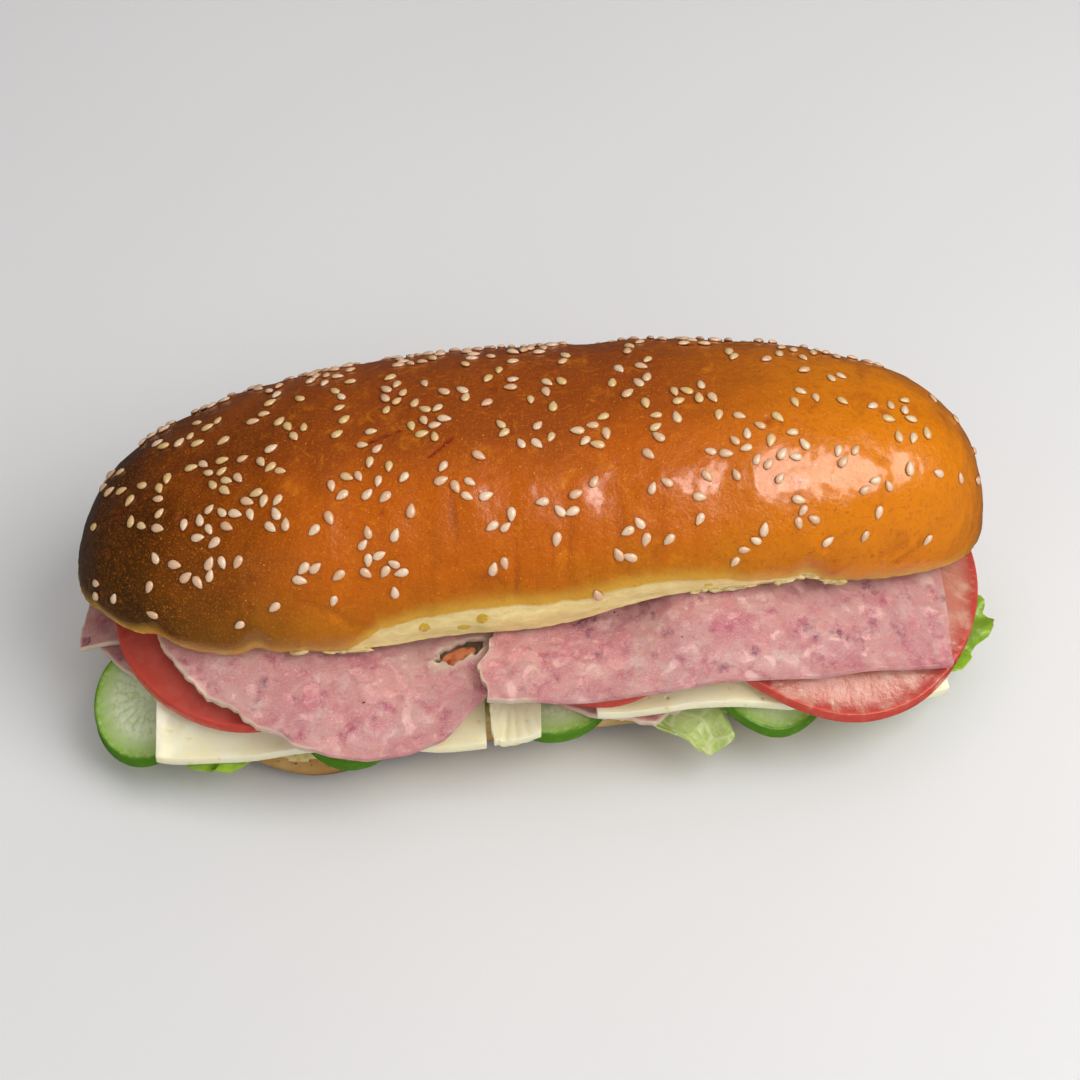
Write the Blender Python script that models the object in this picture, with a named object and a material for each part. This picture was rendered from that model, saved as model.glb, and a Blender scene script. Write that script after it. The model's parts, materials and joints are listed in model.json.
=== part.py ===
"""Smoked beef sandwich in a long sesame roll, laid open towards the front.

The roll lies along X, its front is -Y, and it rests on z = 0. The origin is the middle of the roll's flat
underside. Every filling is laid in turn on what is already there: it bends over the pieces below it and hangs
down past the edge of the bottom roll. Lengths are in metres.
"""

import math
import random

import bmesh
import bpy
import numpy as np
from mathutils import Vector, noise

MM = 0.001

# The roll, cut in two
ROLL_HALF_LENGTH = 106.5 * MM
TOP_HALF_WIDTH = 39.2 * MM
TOP_HEIGHT = 37.4 * MM
TOP_TUCK = 2.6 * MM
TOP_TUCK_HEIGHT = 10.0 * MM
FRONT_BELLIES = ((-0.70, 0.30, 3.2 * MM), (0.12, 0.36, 2.8 * MM))
BOTTOM_HALF_LENGTH = 102.0 * MM
BOTTOM_HALF_WIDTH = 42.0 * MM
BOTTOM_MIDDLE_Y = -4.0 * MM
BOTTOM_HEIGHT = 16.0 * MM
BOTTOM_BULGE = 0.11
CRUST_LIP = 6.5 * MM
FRONT_HOLLOW = 4.0 * MM
PLAN_POWER = 2.8

# How the fillings hang past the edge of the bottom roll
EDGE_INSET = 6.0 * MM
HANG_SLOPE = 0.50
HANG_SOFTNESS = 12.0 * MM

# Thickness of each filling, the air left between two that touch, and the least that a bump may leave of it
BEEF = 1.5 * MM
CHEESE = 2.3 * MM
TOMATO = 3.0 * MM
CUCUMBER = 3.2 * MM
LEAF = 0.7 * MM
GAP = 0.45 * MM
LEAST_GAP = 0.32 * MM

# Sesame seeds
SEED_COUNT = 176
SEED_LENGTH = 3.2 * MM
SEED_WIDTH = 2.0 * MM
SEED_THICKNESS = 1.3 * MM
SEED_RISE = 0.25 * MM
SEED_SPACING = 2.5 * MM

# The grid on which the height of the laid pieces is kept
CELL = 1.0 * MM
GRID_X = np.arange(-130, 131) * CELL
GRID_Y = np.arange(-85, 66) * CELL
MESH_X, MESH_Y = np.meshgrid(GRID_X, GRID_Y, indexing="ij")

COLOURS = {
    "crust": ((0.42, 0.16, 0.03, 1), 0.3),
    "bread": ((0.62, 0.38, 0.14, 1), 0.6),
    "beef": ((0.66, 0.29, 0.30, 1), 0.4),
    "tomato": ((0.62, 0.10, 0.05, 1), 0.25),
    "cheese": ((0.83, 0.76, 0.48, 1), 0.4),
    "cucumber": ((0.42, 0.56, 0.20, 1), 0.3),
    "lettuce": ((0.36, 0.52, 0.09, 1), 0.4),
}


def smooth(t):
    """Rises smoothly from 0 to 1 as t does."""
    t = min(max(t, 0.0), 1.0)
    return t * t * (3 - 2 * t)


def closing(t, power, root):
    """1 in the middle of a loaf and 0 at its ends, t = -1 and 1."""
    return max(0.0, 1 - abs(t) ** power) ** (1 / root)


def hang(x, y):
    """How far a filling sinks where it hangs past the edge of the bottom roll's cut face."""
    across = y - BOTTOM_MIDDLE_Y
    half_x = BOTTOM_HALF_LENGTH - EDGE_INSET
    half_y = BOTTOM_HALF_WIDTH - EDGE_INSET
    share = (np.abs(x / half_x) ** PLAN_POWER + np.abs(across / half_y) ** PLAN_POWER) ** (1 / PLAN_POWER)
    outside = np.hypot(x, across) * (1 - 1 / np.maximum(share, 1))
    return HANG_SLOPE * (np.hypot(outside, HANG_SOFTNESS) - HANG_SOFTNESS)


class Pile:
    """How high the laid pieces stand over the bottom roll's hanging line, over the whole plan."""

    def __init__(self):
        self.line = BOTTOM_HEIGHT - hang(MESH_X, MESH_Y)
        self.relief = np.zeros_like(self.line)

    def rest(self, reach):
        """A smooth sheet over the pile, nowhere below it: the highest point within reach, then the average."""
        cells = max(1, round(reach / CELL))
        highest = self.relief
        for axis in (0, 1):
            highest = np.max([np.roll(highest, k, axis) for k in range(-cells, cells + 1)], axis=0)
        weights = np.array([cells + 1 - abs(k) for k in range(-cells, cells + 1)], float)
        weights /= weights.sum()
        for axis in (0, 1):
            shifted = [w * np.roll(highest, k, axis) for k, w in zip(range(-cells, cells + 1), weights)]
            highest = np.sum(shifted, axis=0)
        return self.line + highest + GAP

    def settle(self, bm):
        """Lifts a sheet's triangles wherever one of them would cut into the pile, each corner by its share."""
        floor = self.line + self.relief + LEAST_GAP
        for _ in range(12):
            for face in bm.faces:
                cells, inside, height, weights = facet_on_grid(face)
                short = np.where(inside, floor[cells] - height, 0)
                worst = np.unravel_index(np.argmax(short), short.shape)
                shares = [float(weight[worst]) for weight in weights]
                for vert, share in zip(face.verts, shares):
                    vert.co.z += float(short[worst]) * share / sum(s * s for s in shares)

    def add(self, bm, outline, top, thickness):
        """Adds a sheet and its thickness to the pile. top is its height just outside its edge."""
        self.relief = np.where(inside_of(outline), np.maximum(self.relief, top - self.line), self.relief)
        for face in bm.faces:
            cells, inside, height, _ = facet_on_grid(face)
            over = height + thickness - self.line[cells]
            self.relief[cells] = np.where(inside, np.maximum(over, self.relief[cells]), self.relief[cells])


def facet_on_grid(face):
    """The grid cells round a triangle, which of them lie inside it, its height there and its corners' weights."""
    a, b, c = (v.co for v in face.verts)
    low_i, low_j = (math.floor((min(v[k] for v in (a, b, c)) - (GRID_X, GRID_Y)[k][0]) / CELL) for k in (0, 1))
    high_i, high_j = (math.ceil((max(v[k] for v in (a, b, c)) - (GRID_X, GRID_Y)[k][0]) / CELL) for k in (0, 1))
    cells = np.s_[low_i:high_i + 1, low_j:high_j + 1]
    x, y = MESH_X[cells], MESH_Y[cells]
    area = (b.x - a.x) * (c.y - a.y) - (c.x - a.x) * (b.y - a.y)
    near_a = ((b.x - x) * (c.y - y) - (c.x - x) * (b.y - y)) / area
    near_b = ((c.x - x) * (a.y - y) - (a.x - x) * (c.y - y)) / area
    near_c = 1 - near_a - near_b
    inside = (near_a >= 0) & (near_b >= 0) & (near_c >= 0)
    return cells, inside, near_a * a.z + near_b * b.z + near_c * c.z, (near_a, near_b, near_c)


def sample(field, x, y):
    """The value of a field at a point, between its four nearest grid points."""
    i = (x - GRID_X[0]) / CELL
    j = (y - GRID_Y[0]) / CELL
    i0, j0 = int(i), int(j)
    u, v = i - i0, j - j0
    near = field[i0, j0] * (1 - u) + field[i0 + 1, j0] * u
    far = field[i0, j0 + 1] * (1 - u) + field[i0 + 1, j0 + 1] * u
    return float(near * (1 - v) + far * v)


def inside_of(outline, margin=1.0 * MM):
    """Which grid points lie inside an outline, or within margin of it."""
    middle = np.mean(outline, axis=0)
    spokes = np.array(outline) - middle
    angles = np.arctan2(spokes[:, 1], spokes[:, 0])
    order = np.argsort(angles)
    lengths = np.hypot(spokes[:, 0], spokes[:, 1])[order]
    dx, dy = MESH_X - middle[0], MESH_Y - middle[1]
    limit = np.interp(np.arctan2(dy, dx), angles[order], lengths, period=2 * math.pi)
    return np.hypot(dx, dy) < limit + margin


def ragged(x, y, size, scale):
    """A torn edge's in and out at a place: up to about size, in tears about scale across."""
    return size * noise.noise(Vector((x / scale, y / scale, 3.7)))


def round_outline(x, y, radius, count, oval=1.0, turn=0.0, tear=0.0, tear_scale=9 * MM, flat=None):
    """A round slice's edge, as points. oval lengthens it towards turn. flat = (angle, width, depth) trims it,
    or where its depth is negative draws it out."""
    points = []
    for k in range(count):
        angle = 2 * math.pi * k / count
        r = radius / math.hypot(math.cos(angle - turn) / oval, math.sin(angle - turn))
        if flat:
            towards, width, depth = flat
            off = math.remainder(angle - towards, 2 * math.pi)
            r -= depth * math.exp(-((off / width) ** 2))
        r += ragged(x + r * math.cos(angle), y + r * math.sin(angle), tear, tear_scale)
        points.append((x + r * math.cos(angle), y + r * math.sin(angle)))
    return points


def straight_outline(corners, counts, tears, tear_scale=8 * MM):
    """A cut slice's edge from its corners. Each side has its own number of points and depth of tear."""
    points = []
    for k, (start, count, tear) in enumerate(zip(corners, counts, tears)):
        end = corners[(k + 1) % len(corners)]
        along = Vector(end) - Vector(start)
        outward = Vector((along.y, -along.x)).normalized()
        for step in range(count):
            place = Vector(start) + along * step / count
            depth = ragged(place.x, place.y, tear, tear_scale)
            points.append(tuple(place + outward * depth))
    return points


def finish_object(name, bm, look, smooth_angle=40):
    """Makes the object from a bmesh, with its own material."""
    bmesh.ops.recalc_face_normals(bm, faces=bm.faces)
    mesh = bpy.data.meshes.new(name)
    bm.to_mesh(mesh)
    bm.free()
    mesh.shade_smooth()
    mesh.set_sharp_from_angle(angle=math.radians(smooth_angle))
    material = bpy.data.materials.new(name)
    material.use_nodes = True
    shader = material.node_tree.nodes["Principled BSDF"]
    colour, roughness = COLOURS[look]
    shader.inputs["Base Color"].default_value = colour
    shader.inputs["Roughness"].default_value = roughness
    shader.inputs["Metallic"].default_value = 0
    mesh.materials.append(material)
    obj = bpy.data.objects.new(name, mesh)
    bpy.context.scene.collection.objects.link(obj)
    return obj


def sheet(outline, rings, height):
    """A sheet of triangles inside an outline, as a bmesh: rings of points about its middle, at height(x, y)."""
    bm = bmesh.new()
    middle = np.mean(outline, axis=0)
    centre = bm.verts.new((*middle, height(*middle)))
    before = None
    count = len(outline)
    for share in rings:
        ring = []
        for x, y in outline:
            px, py = middle[0] + share * (x - middle[0]), middle[1] + share * (y - middle[1])
            ring.append(bm.verts.new((px, py, height(px, py))))
        for k in range(count):
            after = (k + 1) % count
            if before is None:
                bm.faces.new((centre, ring[k], ring[after]))
            else:
                bm.faces.new((before[k], ring[k], ring[after]))
                bm.faces.new((before[k], ring[after], before[after]))
        before = ring
    return bm


def thicken(bm, thickness):
    """Extrudes a sheet straight up into a solid, so both of its faces have the same triangles."""
    grown = bmesh.ops.extrude_face_region(bm, geom=bm.faces[:])
    top = [v for v in grown["geom"] if isinstance(v, bmesh.types.BMVert)]
    bmesh.ops.translate(bm, verts=top, vec=(0, 0, thickness))


def lay_slice(pile, name, look, outline, rings, thickness, rest):
    """Lays a slice of food on a rest, which like slices that lie side by side share, and adds it to the pile."""
    bm = sheet(outline, rings, lambda x, y: sample(rest, x, y))
    pile.settle(bm)
    pile.add(bm, outline, rest + thickness, thickness)
    thicken(bm, thickness)
    return finish_object(name, bm, look)


def lay_leaf(pile, name, outline, rings, waves, low, high):
    """Lays a crumpled lettuce leaf. Its waves are low towards the front and high towards the back and its rim."""
    rest = pile.rest(4 * MM)
    middle = np.mean(outline, axis=0)
    reach = max(math.dist(middle, p) for p in outline)

    def height(x, y):
        rim = (math.dist(middle, (x, y)) / reach) ** 2
        depth = low + (high - low) * smooth((y + 25 * MM) / (40 * MM))
        angle = math.atan2(y - middle[1], x - middle[0])
        wave = 0.5 + 0.5 * math.sin(waves * angle + 2.2 * math.sin(2 * angle)) * rim
        wave += 0.35 * noise.noise(Vector((x, y, 0)) / (11 * MM))
        return sample(rest, x, y) + depth * min(max(wave, 0), 1)

    bm = sheet(outline, rings, height)
    pile.settle(bm)
    pile.add(bm, outline, rest + low + LEAF, LEAF)
    thicken(bm, LEAF)
    return finish_object(name, bm, "lettuce")


def frilled(outline, size, waves):
    """Pushes an outline's points in and out, as a lettuce leaf's frilled rim."""
    middle = np.mean(outline, axis=0)
    points = []
    for k, (x, y) in enumerate(outline):
        grow = 1 + size * math.sin(waves * k) + 0.5 * size * math.sin(2.3 * waves * k + 1)
        points.append((middle[0] + grow * (x - middle[0]), middle[1] + grow * (y - middle[1])))
    return points


def bottom_roll():
    """The lower half of the roll: a flat underside, a rounded crust and a cut face that the fillings lie on.

    Low at its front the crust sticks out in a lip at the left, and is drawn in to the right of the middle.
    """
    count = 40
    profile = [(0.80, 0.0, 0.8), (0.93, 2.2 * MM, 1.0), (1.0, 7.0 * MM, 0.75), (0.985, 11.5 * MM, 0.15)]
    cut_rings = [0.95, 0.72, 0.38]
    bm = bmesh.new()

    def plan(angle, share, low=0.0):
        c, s = math.cos(angle), math.sin(angle)
        x = BOTTOM_HALF_LENGTH * math.copysign(abs(c) ** (2 / PLAN_POWER), c)
        y = BOTTOM_HALF_WIDTH * math.copysign(abs(s) ** (2 / PLAN_POWER), s)
        front = float(s < 0)
        swell = 1 + BOTTOM_BULGE * math.exp(-(((x + 60 * MM) / (22 * MM)) ** 2)) * front
        lip = CRUST_LIP * math.exp(-(((x + 60 * MM) / (14 * MM)) ** 2))
        hollow = FRONT_HOLLOW * math.exp(-(((x - 28 * MM) / (40 * MM)) ** 2))
        return share * x, BOTTOM_MIDDLE_Y + share * y * swell - low * (lip - hollow) * front

    rings = []
    for share, z, low in profile:
        rings.append([bm.verts.new((*plan(2 * math.pi * k / count, share, low), z)) for k in range(count)])
    for share in cut_rings:
        ring = []
        for k in range(count):
            x, y = plan(2 * math.pi * k / count, share)
            ring.append(bm.verts.new((x, y, BOTTOM_HEIGHT - float(hang(x, y)) - GAP)))
        rings.append(ring)
    bm.faces.new(rings[0])
    for lower, upper in zip(rings, rings[1:]):
        for k in range(count):
            after = (k + 1) % count
            bm.faces.new((lower[k], lower[after], upper[after], upper[k]))
    centre = bm.verts.new((0, BOTTOM_MIDDLE_Y, BOTTOM_HEIGHT - GAP))
    for k in range(count):
        bm.faces.new((rings[-1][k], rings[-1][(k + 1) % count], centre))
    return finish_object("bottom_roll", bm, "bread", 50)


class TopRoll:
    """The upper half of the roll. s runs from -1 to 1 along it and turn from 0 at the front rim to pi at the back."""

    def __init__(self, underside):
        self.underside = underside
        columns = [np.ones(MESH_X.size), MESH_X.ravel(), MESH_Y.ravel()]
        near = (np.abs(MESH_X) < 90 * MM) & (np.abs(MESH_Y) < 32 * MM)
        chosen = near.ravel()
        fit = np.linalg.lstsq(np.stack(columns, 1)[chosen], underside.ravel()[chosen], rcond=None)[0]
        self.level, self.slope_x, self.slope_y = (float(v) for v in fit)

    def half_width(self, s):
        shape = closing(s, 3.2, 2.1) if s < 0 else closing(s, 3.6, 2.1)
        return TOP_HALF_WIDTH * shape * (1 - 0.09 * s)

    def crown(self, s):
        shape = closing(s, 2.3, 1.95) if s < 0 else closing(s, 3.3, 2.2)
        return TOP_HEIGHT * shape * (1 - 0.02 * s)

    def middle_y(self, s):
        bow = 4.8 if s < 0 else 6.0
        return (0.8 + 1.0 * s - bow * s * s) * MM

    def point(self, s, turn, lumps=True):
        """A point of the crust."""
        wide, tall = self.half_width(s), self.crown(s)
        c, sn = math.cos(turn), math.sin(turn)
        if lumps:
            fold = noise.noise(Vector((s * 13, 0.5 * turn, 1.3))) * sn ** 0.5 if sn > 0 else 0
            lump = noise.noise(Vector((s * 5.5, 1.1 * turn, 8.1)))
            swell = 1 + 0.014 * fold + 0.020 * lump
        else:
            swell = 1
        across = wide * math.copysign(abs(c) ** (2 / 2.25), c) * swell
        up = tall * max(sn, 0) ** (2 / 2.25) * swell
        tuck = TOP_TUCK * max(0, 1 - up / TOP_TUCK_HEIGHT) ** 2 * wide / TOP_HALF_WIDTH
        x = ROLL_HALF_LENGTH * s - math.copysign(tuck * abs(s) ** 4, s)
        belly = sum(depth * math.exp(-(((s - where) / width) ** 2)) for where, width, depth in FRONT_BELLIES)
        belly *= max(c, 0) ** 2
        y = self.middle_y(s) - across - belly + math.copysign(min(tuck, abs(across)), c)
        return Vector((x, y, self.base(x, y, up) + up))

    def base(self, x, y, up):
        """The underside's height, which follows the filling at the rim and evens out towards the crown."""
        plane = self.level + self.slope_x * x + self.slope_y * y
        share = smooth(up / (0.7 * TOP_HEIGHT))
        return sample(self.underside, x, y) * (1 - share) + plane * share

    def build(self):
        stations = [-math.cos(math.pi * k / 40) for k in range(1, 40)]
        turns = [math.pi * k / 20 for k in range(21)]
        cut_shares = [k / 8 for k in range(1, 8)]
        bm = bmesh.new()
        rows = []
        for s in stations:
            row = [bm.verts.new(self.point(s, turn)) for turn in turns]
            front, back = row[0].co, row[-1].co
            for share in reversed(cut_shares):
                place = front.lerp(back, share)
                row.append(bm.verts.new((place.x, place.y, sample(self.underside, place.x, place.y))))
            rows.append(row)
        around = len(rows[0])
        for near, far in zip(rows, rows[1:]):
            for k in range(around):
                after = (k + 1) % around
                bm.faces.new((near[k], near[after], far[after], far[k]))
        for s, row in ((-1, rows[0]), (1, rows[-1])):
            tip = bm.verts.new(self.point(s, 0.5 * math.pi, lumps=False))
            for k in range(around):
                bm.faces.new((row[k], row[(k + 1) % around], tip))
        return finish_object("top_roll", bm, "crust", 50)

    def normal(self, s, turn):
        step = 0.01
        along = self.point(min(s + step, 0.999), turn) - self.point(max(s - step, -0.999), turn)
        round_it = self.point(s, min(turn + step, 3.1)) - self.point(s, max(turn - step, 0.04))
        return along.cross(round_it).normalized()


def seed_chance(roll, s, turn):
    """How thickly the seeds lie: most over the crown and at the left, few low at the front and the right."""
    girth = roll.half_width(s) / TOP_HALF_WIDTH
    low = 0.15 + 0.5 * smooth((-0.45 - s) / 0.25)
    high = 1.0 - 0.3 * smooth((s - 0.2) / 0.5)
    return girth * (low + (high - low) * smooth((math.sin(turn) - 0.15) / 0.6))


def seed_places(roll):
    """Where the seeds stick, how each is turned and its size. Many lie in twos and threes."""
    draw = random.Random(7)
    seeds = []
    while len(seeds) < SEED_COUNT:
        if seeds and draw.random() < 0.42:
            s, turn = draw.choice(seeds)[:2]
            s += draw.uniform(-0.035, 0.035)
            turn += draw.uniform(-0.11, 0.11)
        else:
            s = draw.uniform(-0.97, 0.97)
            turn = draw.uniform(0.18, math.pi - 0.18)
        if abs(s) > 0.975 or not 0.16 < turn < math.pi - 0.16 or draw.random() > seed_chance(roll, s, turn):
            continue
        here = roll.point(s, turn)
        if all((here - seed[2]).length > SEED_SPACING for seed in seeds):
            seeds.append((s, turn, here, draw.uniform(0, 2 * math.pi), draw.uniform(0.88, 1.1)))
    return seeds


def add_seeds(roll, obj):
    """Fuses the seeds to the crust with one union."""
    collection = bpy.data.collections.new("seeds")
    bpy.context.scene.collection.children.link(collection)
    for s, turn, here, spin, size in seed_places(roll):
        normal = roll.normal(s, turn)
        bm = bmesh.new()
        bmesh.ops.create_cone(bm, cap_ends=True, segments=6, radius1=0.5, radius2=0.27, depth=1)
        bmesh.ops.scale(bm, verts=bm.verts, vec=(SEED_LENGTH * size, SEED_WIDTH * size, SEED_THICKNESS))
        mesh = bpy.data.meshes.new("seed")
        bm.to_mesh(mesh)
        bm.free()
        seed = bpy.data.objects.new("seed", mesh)
        turned = normal.to_track_quat("Z", "Y").to_matrix().to_4x4()
        seed.matrix_world = turned @ turned.__class__.Rotation(spin, 4, "Z")
        seed.location = here + normal * SEED_RISE
        collection.objects.link(seed)
    union = obj.modifiers.new("seeds", "BOOLEAN")
    union.operation = "UNION"
    union.operand_type = "COLLECTION"
    union.collection = collection
    union.solver = "EXACT"
    bpy.context.view_layer.update()
    graph = bpy.context.evaluated_depsgraph_get()
    joined = bpy.data.meshes.new_from_object(obj.evaluated_get(graph))
    obj.modifiers.clear()
    obj.data = joined
    for seed in list(collection.objects):
        bpy.data.objects.remove(seed)
    bpy.data.collections.remove(collection)


def lay_lettuce(pile):
    left = round_outline(-63 * MM, -11 * MM, 36 * MM, 28)
    left[19] = (-83 * MM, -51 * MM)
    left[20] = (-73 * MM, -51 * MM)
    middle = round_outline(8 * MM, -12 * MM, 34 * MM, 28)
    middle[23] = (29.5 * MM, -56 * MM)
    middle[24] = (36 * MM, -58 * MM)
    middle[25] = (40 * MM, -53.5 * MM)
    frill = (math.radians(-28), 0.35, -4.5 * MM)
    right = round_outline(70.5 * MM, -12.5 * MM, 34 * MM, 34, flat=frill)
    rings = [0.45, 0.75, 1.0]
    lay_leaf(pile, "lettuce_left", frilled(left, 0.04, 1.9), rings, 7, 0.7 * MM, 2.6 * MM)
    lay_leaf(pile, "lettuce_middle", frilled(middle, 0.04, 2.1), rings, 6, 0.7 * MM, 2.6 * MM)
    lay_leaf(pile, "lettuce_right", frilled(right, 0.05, 2.4), rings, 8, 2.8 * MM, 4.2 * MM)


def lay_cucumber(pile):
    places = {
        "cucumber_end": (-90.5, -33.8, 13.5),
        "cucumber_left": (-45.0, -41.2, 13.5),
        "cucumber_middle": (1.0, -37.8, 15.6),
        "cucumber_right": (51.0, -39.7, 15.0),
    }
    rest = pile.rest(6 * MM)
    for name, (x, y, radius) in places.items():
        outline = round_outline(x * MM, y * MM, radius * MM, 22, 1.03, 0.6)
        lay_slice(pile, name, "cucumber", outline, [0.55, 1.0], CUCUMBER, rest)


def lay_lower_beef(pile):
    rings = [0.4, 0.72, 1.0]
    rest = pile.rest(6 * MM)
    outline = round_outline(-67 * MM, -5 * MM, 38.0 * MM, 28, tear=1.4 * MM)
    lay_slice(pile, "beef_under_left", "beef", outline, rings, BEEF, rest)
    outline = round_outline(19.5 * MM, -16 * MM, 36.5 * MM, 30, tear=2.2 * MM, tear_scale=6 * MM)
    lay_slice(pile, "beef_under_middle", "beef", outline, rings, BEEF, rest)
    corners = [(-106.5 * MM, -22 * MM), (-64 * MM, -27 * MM), (-60 * MM, 14 * MM), (-103 * MM, 10 * MM)]
    outline = straight_outline(corners, [6, 6, 6, 6], [0.8 * MM, 0, 0, 1.0 * MM])
    lay_slice(pile, "beef_under_fold", "beef", outline, rings, BEEF, pile.rest(6 * MM))


def lay_cheese(pile):
    rings = [0.4, 0.72, 1.0]
    rest = pile.rest(6 * MM)
    corners = [(-89.5 * MM, -51.4 * MM), (-15.3 * MM, -55.3 * MM), (-9 * MM, 14 * MM), (-84 * MM, 21 * MM)]
    outline = straight_outline(corners, [7, 6, 7, 6], [0, 1.0 * MM, 0, 0])
    lay_slice(pile, "cheese_left", "cheese", outline, rings, CHEESE, rest)
    front = [(10 * MM, -53.2 * MM), (32 * MM, -53.2 * MM), (54 * MM, -53.2 * MM), (74 * MM, -50.5 * MM)]
    corners = front + [(92.5 * MM, -46 * MM), (90 * MM, 28 * MM), (9 * MM, 26 * MM)]
    outline = straight_outline(corners, [3, 2, 2, 2, 6, 8, 6], [0, 0, 0, 0, 0, 0, 0])
    lay_slice(pile, "cheese_right", "cheese", outline, rings, CHEESE, rest)
    corners = [(-14.6 * MM, -55.8 * MM), (-3.0 * MM, -55.2 * MM), (-1.2 * MM, -26 * MM), (-11.6 * MM, -24 * MM)]
    outline = straight_outline(corners, [4, 6, 3, 6], [0.8 * MM, 0.6 * MM, 0, 0])
    lay_slice(pile, "cheese_strip", "cheese", outline, [1.0], CHEESE, rest)


def lay_tomato(pile):
    places = {
        "tomato_left": (-65.0, -18.8, 31.5, 32, 0.3, None),
        "tomato_middle": (14.5, -24.5, 28.0, 32, 0.3, (0, 0.7, 6.5 * MM)),
        "tomato_right": (62.5, -13.4, 41.5, 36, -1.4, (math.pi, 0.6, 17.0 * MM)),
    }
    rest = pile.rest(6 * MM)
    for name, (x, y, radius, count, turn, flat) in places.items():
        outline = round_outline(x * MM, y * MM, radius * MM, count, 1.04, turn, flat=flat)
        lay_slice(pile, name, "tomato", outline, [0.42, 0.75, 1.0], TOMATO, rest)


def lay_upper_beef(pile):
    rings = [0.26, 0.48, 0.68, 0.85, 1.0]
    outline = round_outline(-42 * MM, -9.0 * MM, 50 * MM, 36, tear=1.2 * MM)
    lay_slice(pile, "beef_left", "beef", outline, rings, BEEF, pile.rest(9 * MM))
    front = [(-15.3 * MM, -54.4 * MM), (26 * MM, -54.7 * MM), (60 * MM, -52.4 * MM)]
    corners = front + [(93 * MM, -44.4 * MM), (94.5 * MM, 24 * MM), (-6 * MM, 22 * MM)]
    outline = straight_outline(corners, [5, 4, 4, 7, 10, 9], [0, 0, 0, 0, 0, 3.2 * MM], 7 * MM)
    lay_slice(pile, "beef_right", "beef", outline, rings, BEEF, pile.rest(9 * MM))


def main():
    for obj in list(bpy.data.objects):
        bpy.data.objects.remove(obj)
    pile = Pile()
    bottom_roll()
    lay_lettuce(pile)
    lay_cucumber(pile)
    lay_lower_beef(pile)
    lay_cheese(pile)
    lay_tomato(pile)
    lay_upper_beef(pile)
    roll = TopRoll(pile.rest(11 * MM) + 0.3 * MM)
    add_seeds(roll, roll.build())


main()
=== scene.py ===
"""Smoked beef sandwich in a long sesame roll: every piece of it with its real surface.

The pieces follow in the order in which a cook lays them: the lower half of the roll, lettuce, cucumber, beef,
cheese, tomato, more beef, the upper half of the roll and what sticks to it. The stage comes last.
Lengths are in metres, and MM is one millimetre.
"""

import json
import math
import random

import bpy
import numpy as np
from mathutils import Matrix, Vector, noise
from mathutils.bvhtree import BVHTree

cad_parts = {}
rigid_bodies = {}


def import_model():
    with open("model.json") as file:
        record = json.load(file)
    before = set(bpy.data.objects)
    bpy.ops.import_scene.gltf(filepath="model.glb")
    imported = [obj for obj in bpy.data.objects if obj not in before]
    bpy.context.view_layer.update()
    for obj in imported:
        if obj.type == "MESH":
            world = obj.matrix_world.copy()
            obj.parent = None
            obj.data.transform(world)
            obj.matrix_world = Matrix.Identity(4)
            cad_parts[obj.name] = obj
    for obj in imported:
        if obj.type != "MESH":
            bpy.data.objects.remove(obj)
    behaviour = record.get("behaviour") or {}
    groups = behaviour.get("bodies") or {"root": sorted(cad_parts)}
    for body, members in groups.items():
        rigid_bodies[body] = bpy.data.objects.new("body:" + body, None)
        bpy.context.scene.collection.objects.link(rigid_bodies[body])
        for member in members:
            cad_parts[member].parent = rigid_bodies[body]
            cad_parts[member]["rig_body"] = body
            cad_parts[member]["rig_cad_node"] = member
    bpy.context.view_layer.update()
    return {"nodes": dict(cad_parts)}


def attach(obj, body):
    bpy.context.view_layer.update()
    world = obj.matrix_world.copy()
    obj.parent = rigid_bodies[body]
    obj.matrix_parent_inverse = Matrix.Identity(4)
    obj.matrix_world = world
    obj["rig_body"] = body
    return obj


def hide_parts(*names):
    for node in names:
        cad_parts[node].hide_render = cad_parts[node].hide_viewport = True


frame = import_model()
MM = 0.001


# Bottom roll: the lower half of a soft milk roll, baked on its flat underside, matte and golden brown, with
# pale crumb on its cut face. It is smoothed from the faceted solid; crust and crumb part at the cut's edge.
BREAD_CRUST = "#B98C4C"
BREAD_CRUST_DARK = "#6E431B"
BREAD_CRUST_PALE = "#D9BB80"
CRUMB = "#E6D19A"
CRUMB_SHADE = "#CDAF6C"


def linear(hex_colour):
    """An sRGB hex colour as linear red, green, blue and alpha."""
    parts = [int(hex_colour[k:k + 2], 16) / 255 for k in (1, 3, 5)]
    return (*(p / 12.92 if p <= 0.04045 else ((p + 0.055) / 1.055) ** 2.4 for p in parts), 1.0)


def add(material, kind, inputs=None, stops=None, **settings):
    """Adds a shader node. Inputs are numbers, hex colours or sockets, and stops are the colours of a ramp."""
    node = material.node_tree.nodes.new(kind)
    for name, value in settings.items():
        setattr(node, name, value)
    for key, value in (inputs or {}).items():
        if isinstance(value, bpy.types.NodeSocket):
            material.node_tree.links.new(value, node.inputs[key])
        else:
            node.inputs[key].default_value = linear(value) if isinstance(value, str) else value
    if stops:
        elements = node.color_ramp.elements
        while len(elements) < len(stops):
            elements.new(0.5)
        for element, (place, value) in zip(elements, stops):
            element.position = place
            element.color = linear(value) if isinstance(value, str) else (value, value, value, 1)
    return node


def new_material(name, **finish):
    """A material with a Principled shader whose even values are set on its own sockets."""
    material = bpy.data.materials.new(name)
    material.use_nodes = True
    shader = material.node_tree.nodes["Principled BSDF"]
    for key, value in finish.items():
        shader.inputs[key.replace("_", " ")].default_value = value
    return material, shader


def let_light_in(shader, weight, reach, depth):
    """How much light passes into the piece, how far each colour of it goes, and how deep in metres."""
    shader.inputs["Subsurface Weight"].default_value = weight
    shader.inputs["Subsurface Radius"].default_value = reach
    shader.inputs["Subsurface Scale"].default_value = depth


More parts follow.
